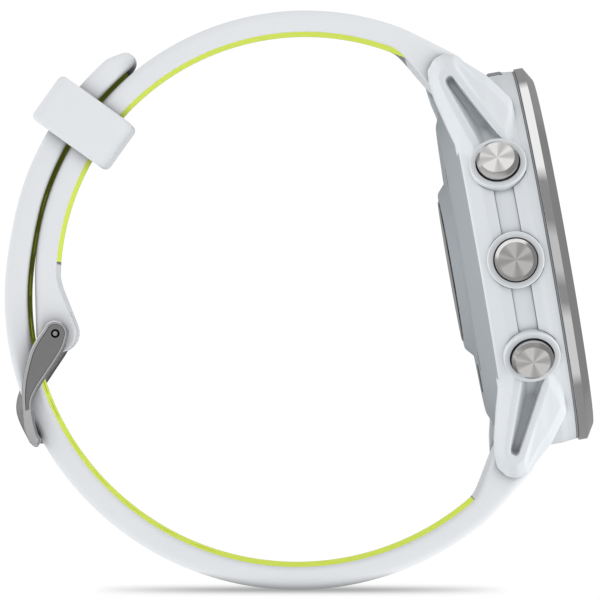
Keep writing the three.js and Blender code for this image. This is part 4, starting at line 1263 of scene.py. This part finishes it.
def build_strap():
    white = silicone("white_silicone", (0.895, 0.9, 0.91))
    lime = silicone("lime_silicone", (0.78, 0.92, 0.06), 0.18)
    satin = satin_steel("satin_steel", (0.5, 0.5, 0.505), 0.3)
    finished = buckle_finish("buckle_steel")
    strap_pieces = {
        "upper_strap_moulding": (upper_strap(), "strap", "strap_silicone", white, "upper_strap"),
        "lower_strap_moulding": (lower_strap(), "strap", "strap_silicone", white, "lower_strap"),
        "upper_lining_sheet": (lining(*UPPER), "strap", "lining_silicone", lime, "upper_lining"),
        "lower_lining_sheet": (
            cut(lining(*LOWER), *adjustment_holes()), "strap", "lining_silicone", lime, "lower_lining"),
        "keeper_sleeve": (keeper(), "keeper_loop", "strap_silicone", white, "keeper"),
        "buckle_arms": (buckle_frame(), "buckle", "buckle_steel", finished, "buckle_frame"),
        "buckle_bar_pin": (buckle_bar(), "buckle", "steel", satin, "buckle_bar"),
        "tongue_blade": (tongue(), "buckle_tongue", "buckle_steel", satin, "tongue"),
    }
    for name, (made, body, slot, material, node) in strap_pieces.items():
        piece(made, name, LOOP, body, slot, material, node)
        if material == lime:
            made.visible_diffuse = False
            made.visible_glossy = False


# ---------- studio ----------


def floor():
    """A pale floor that the strap stands on, with a painted soft shadow under the lowest part of the strap.
    """
    size = 2.0
    # the painted shadow's darkness, its half length and half depth, and how far it sits nearer the camera, in
    # millimetres
    shade, half_length, half_depth, nearer = 0.62, 26, 13.2, 9.0
    low = min(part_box(node)[0].z for node in ("lower_strap", "upper_strap"))
    corners = [(-size, -size, low), (size, -size, low), (size, size, low), (-size, size, low)]
    plane = make(corners, [(0, 1, 2, 3)])
    plane.name = "floor"
    shader = Shader("pale_floor", (0.0, 0.0, 0.0), 1.0)
    shader.set("Specular IOR Level", 0.0)
    x, y, _ = shader.parts(shader.object_mm())
    along = shader.math("DIVIDE", shader.less(x, LOOP_CENTRE.x), half_length)
    away = shader.math("DIVIDE", shader.less(y, LOOP_CENTRE.y - nearer), half_depth)
    lengthwise = shader.math("MAXIMUM", shader.less(1.0, shader.times(along, along)), 0.0)
    depthwise = shader.math("EXPONENT", shader.times(shader.times(away, away), -1.0))
    dark = shader.times(shader.times(lengthwise, depthwise), shade)
    cloud = shader.noise(shader.object_mm(), 0.02, 2)
    open_floor = shader.mix(cloud, (1.0, 1.0, 1.0, 1), (1.02, 1.02, 1.02, 1))
    shader.set("Emission Color", shader.mix(dark, open_floor, (0.0, 0.0, 0.005, 1)))
    shader.set("Emission Strength", 1.0)
    plane.data.materials.append(shader.material)
    plane.visible_glossy = False
    plane.visible_diffuse = False


# The studio that the metal reflects: a grey room with soft boxes above, ahead and below, each as
# (degrees above the camera, half height in degrees, added light).
ROOM_LIGHT = 0.3
SOFT_BOXES = [(90, 45, 0.7), (0, 20, 0.3), (-60, 30, 0.4)]
SOFT_BOX_RIM = 10
DIAL_SIDE = (0.49, 0.585)
SOFT_LIGHT, SOFT_SIDES, SOFT_RIGHT, SOFT_UP, SOFT_BEHIND = 0.66, 0.6, 0.12, -0.2, 0.1


def soft_box(nodes, height, middle, half, light):
    """The light of one soft box, fading out over its rim."""
    away = nodes.math("ABSOLUTE", nodes.less(height, math.radians(middle)))
    return nodes.fit(away, light, 0, math.radians(half - SOFT_BOX_RIM), math.radians(half))


def studio_light():
    """Soft light from all round, with a few soft boxes for the metal to reflect."""
    world = bpy.data.worlds.new("studio")
    bpy.context.scene.world = world
    world.use_nodes = True
    world.node_tree.nodes.clear()
    nodes = Nodes(world.node_tree)
    x, y, z = nodes.parts(nodes.node("ShaderNodeTexCoord").outputs["Generated"])
    height = nodes.math("ARCTAN2", z, nodes.times(y, -1))
    boxes = ROOM_LIGHT
    for box in SOFT_BOXES:
        boxes = nodes.plus(soft_box(nodes, height, *box), boxes)
    boxes = nodes.vector(boxes, boxes, boxes)
    boxes = nodes.mix(nodes.fit(x, 0, 1, *DIAL_SIDE), boxes, (0.25, 0.25, 0.25, 1))
    soft = SOFT_LIGHT
    sides = nodes.math("ABSOLUTE", x)
    for direction, light in ((x, SOFT_RIGHT), (sides, SOFT_SIDES), (z, SOFT_UP), (y, SOFT_BEHIND)):
        soft = nodes.plus(soft, nodes.times(direction, light))
    soft = nodes.vector(soft, nodes.times(soft, 1.02), nodes.times(soft, 1.04))
    path = nodes.node("ShaderNodeLightPath").outputs
    unseen = nodes.mix(path["Is Diffuse Ray"], boxes, soft)
    seen = nodes.mix(path["Is Camera Ray"], unseen, (1.03, 1.03, 1.03, 1))
    background = nodes.add("ShaderNodeBackground", {"Color": seen})
    nodes.feed(nodes.node("ShaderNodeOutputWorld").inputs[0], background)


def area_light(name, place, power, size, only=None):
    """A soft square light aimed at the middle; it can be kept to one piece, as a flag would keep it."""
    light = bpy.data.lights.new(name, "AREA")
    light.energy = power
    light.size = size
    lamp = bpy.data.objects.new(name, light)
    lamp.location = place
    middle = LOOP_CENTRE * MM
    lamp.rotation_euler = (middle - Vector(place)).to_track_quat("-Z", "Y").to_euler()
    lamp.visible_glossy = False
    bpy.context.scene.collection.objects.link(lamp)
    if only:
        lit = bpy.data.collections.new(name)
        lit.objects.link(only)
        lamp.light_linking.receiver_collection = lit


def camera():
    """A level camera on the button side, a metre from the middle of the strap loop."""
    distance, field = 1.0, 0.075
    data = bpy.data.cameras.new("camera")
    data.lens = data.sensor_width * distance / field
    view = bpy.data.objects.new("camera", data)
    view.location = LOOP_CENTRE * MM - Vector((0, distance, 0))
    view.rotation_euler = (RIGHT, 0, 0)
    bpy.context.scene.collection.objects.link(view)
    bpy.context.scene.camera = view


shell = build_case()
build_strap()
floor()
studio_light()
area_light("top_light", (-0.03, -0.14, 0.14), 0.02, 0.08)
area_light("rear_light", (-0.5, -0.06, 0.05), 0.8, 0.15, shell)
area_light("front_light", (0.42, -0.06, -0.02), 1.0, 0.15, shell)
camera()
bpy.context.scene.view_settings.view_transform = "Standard"
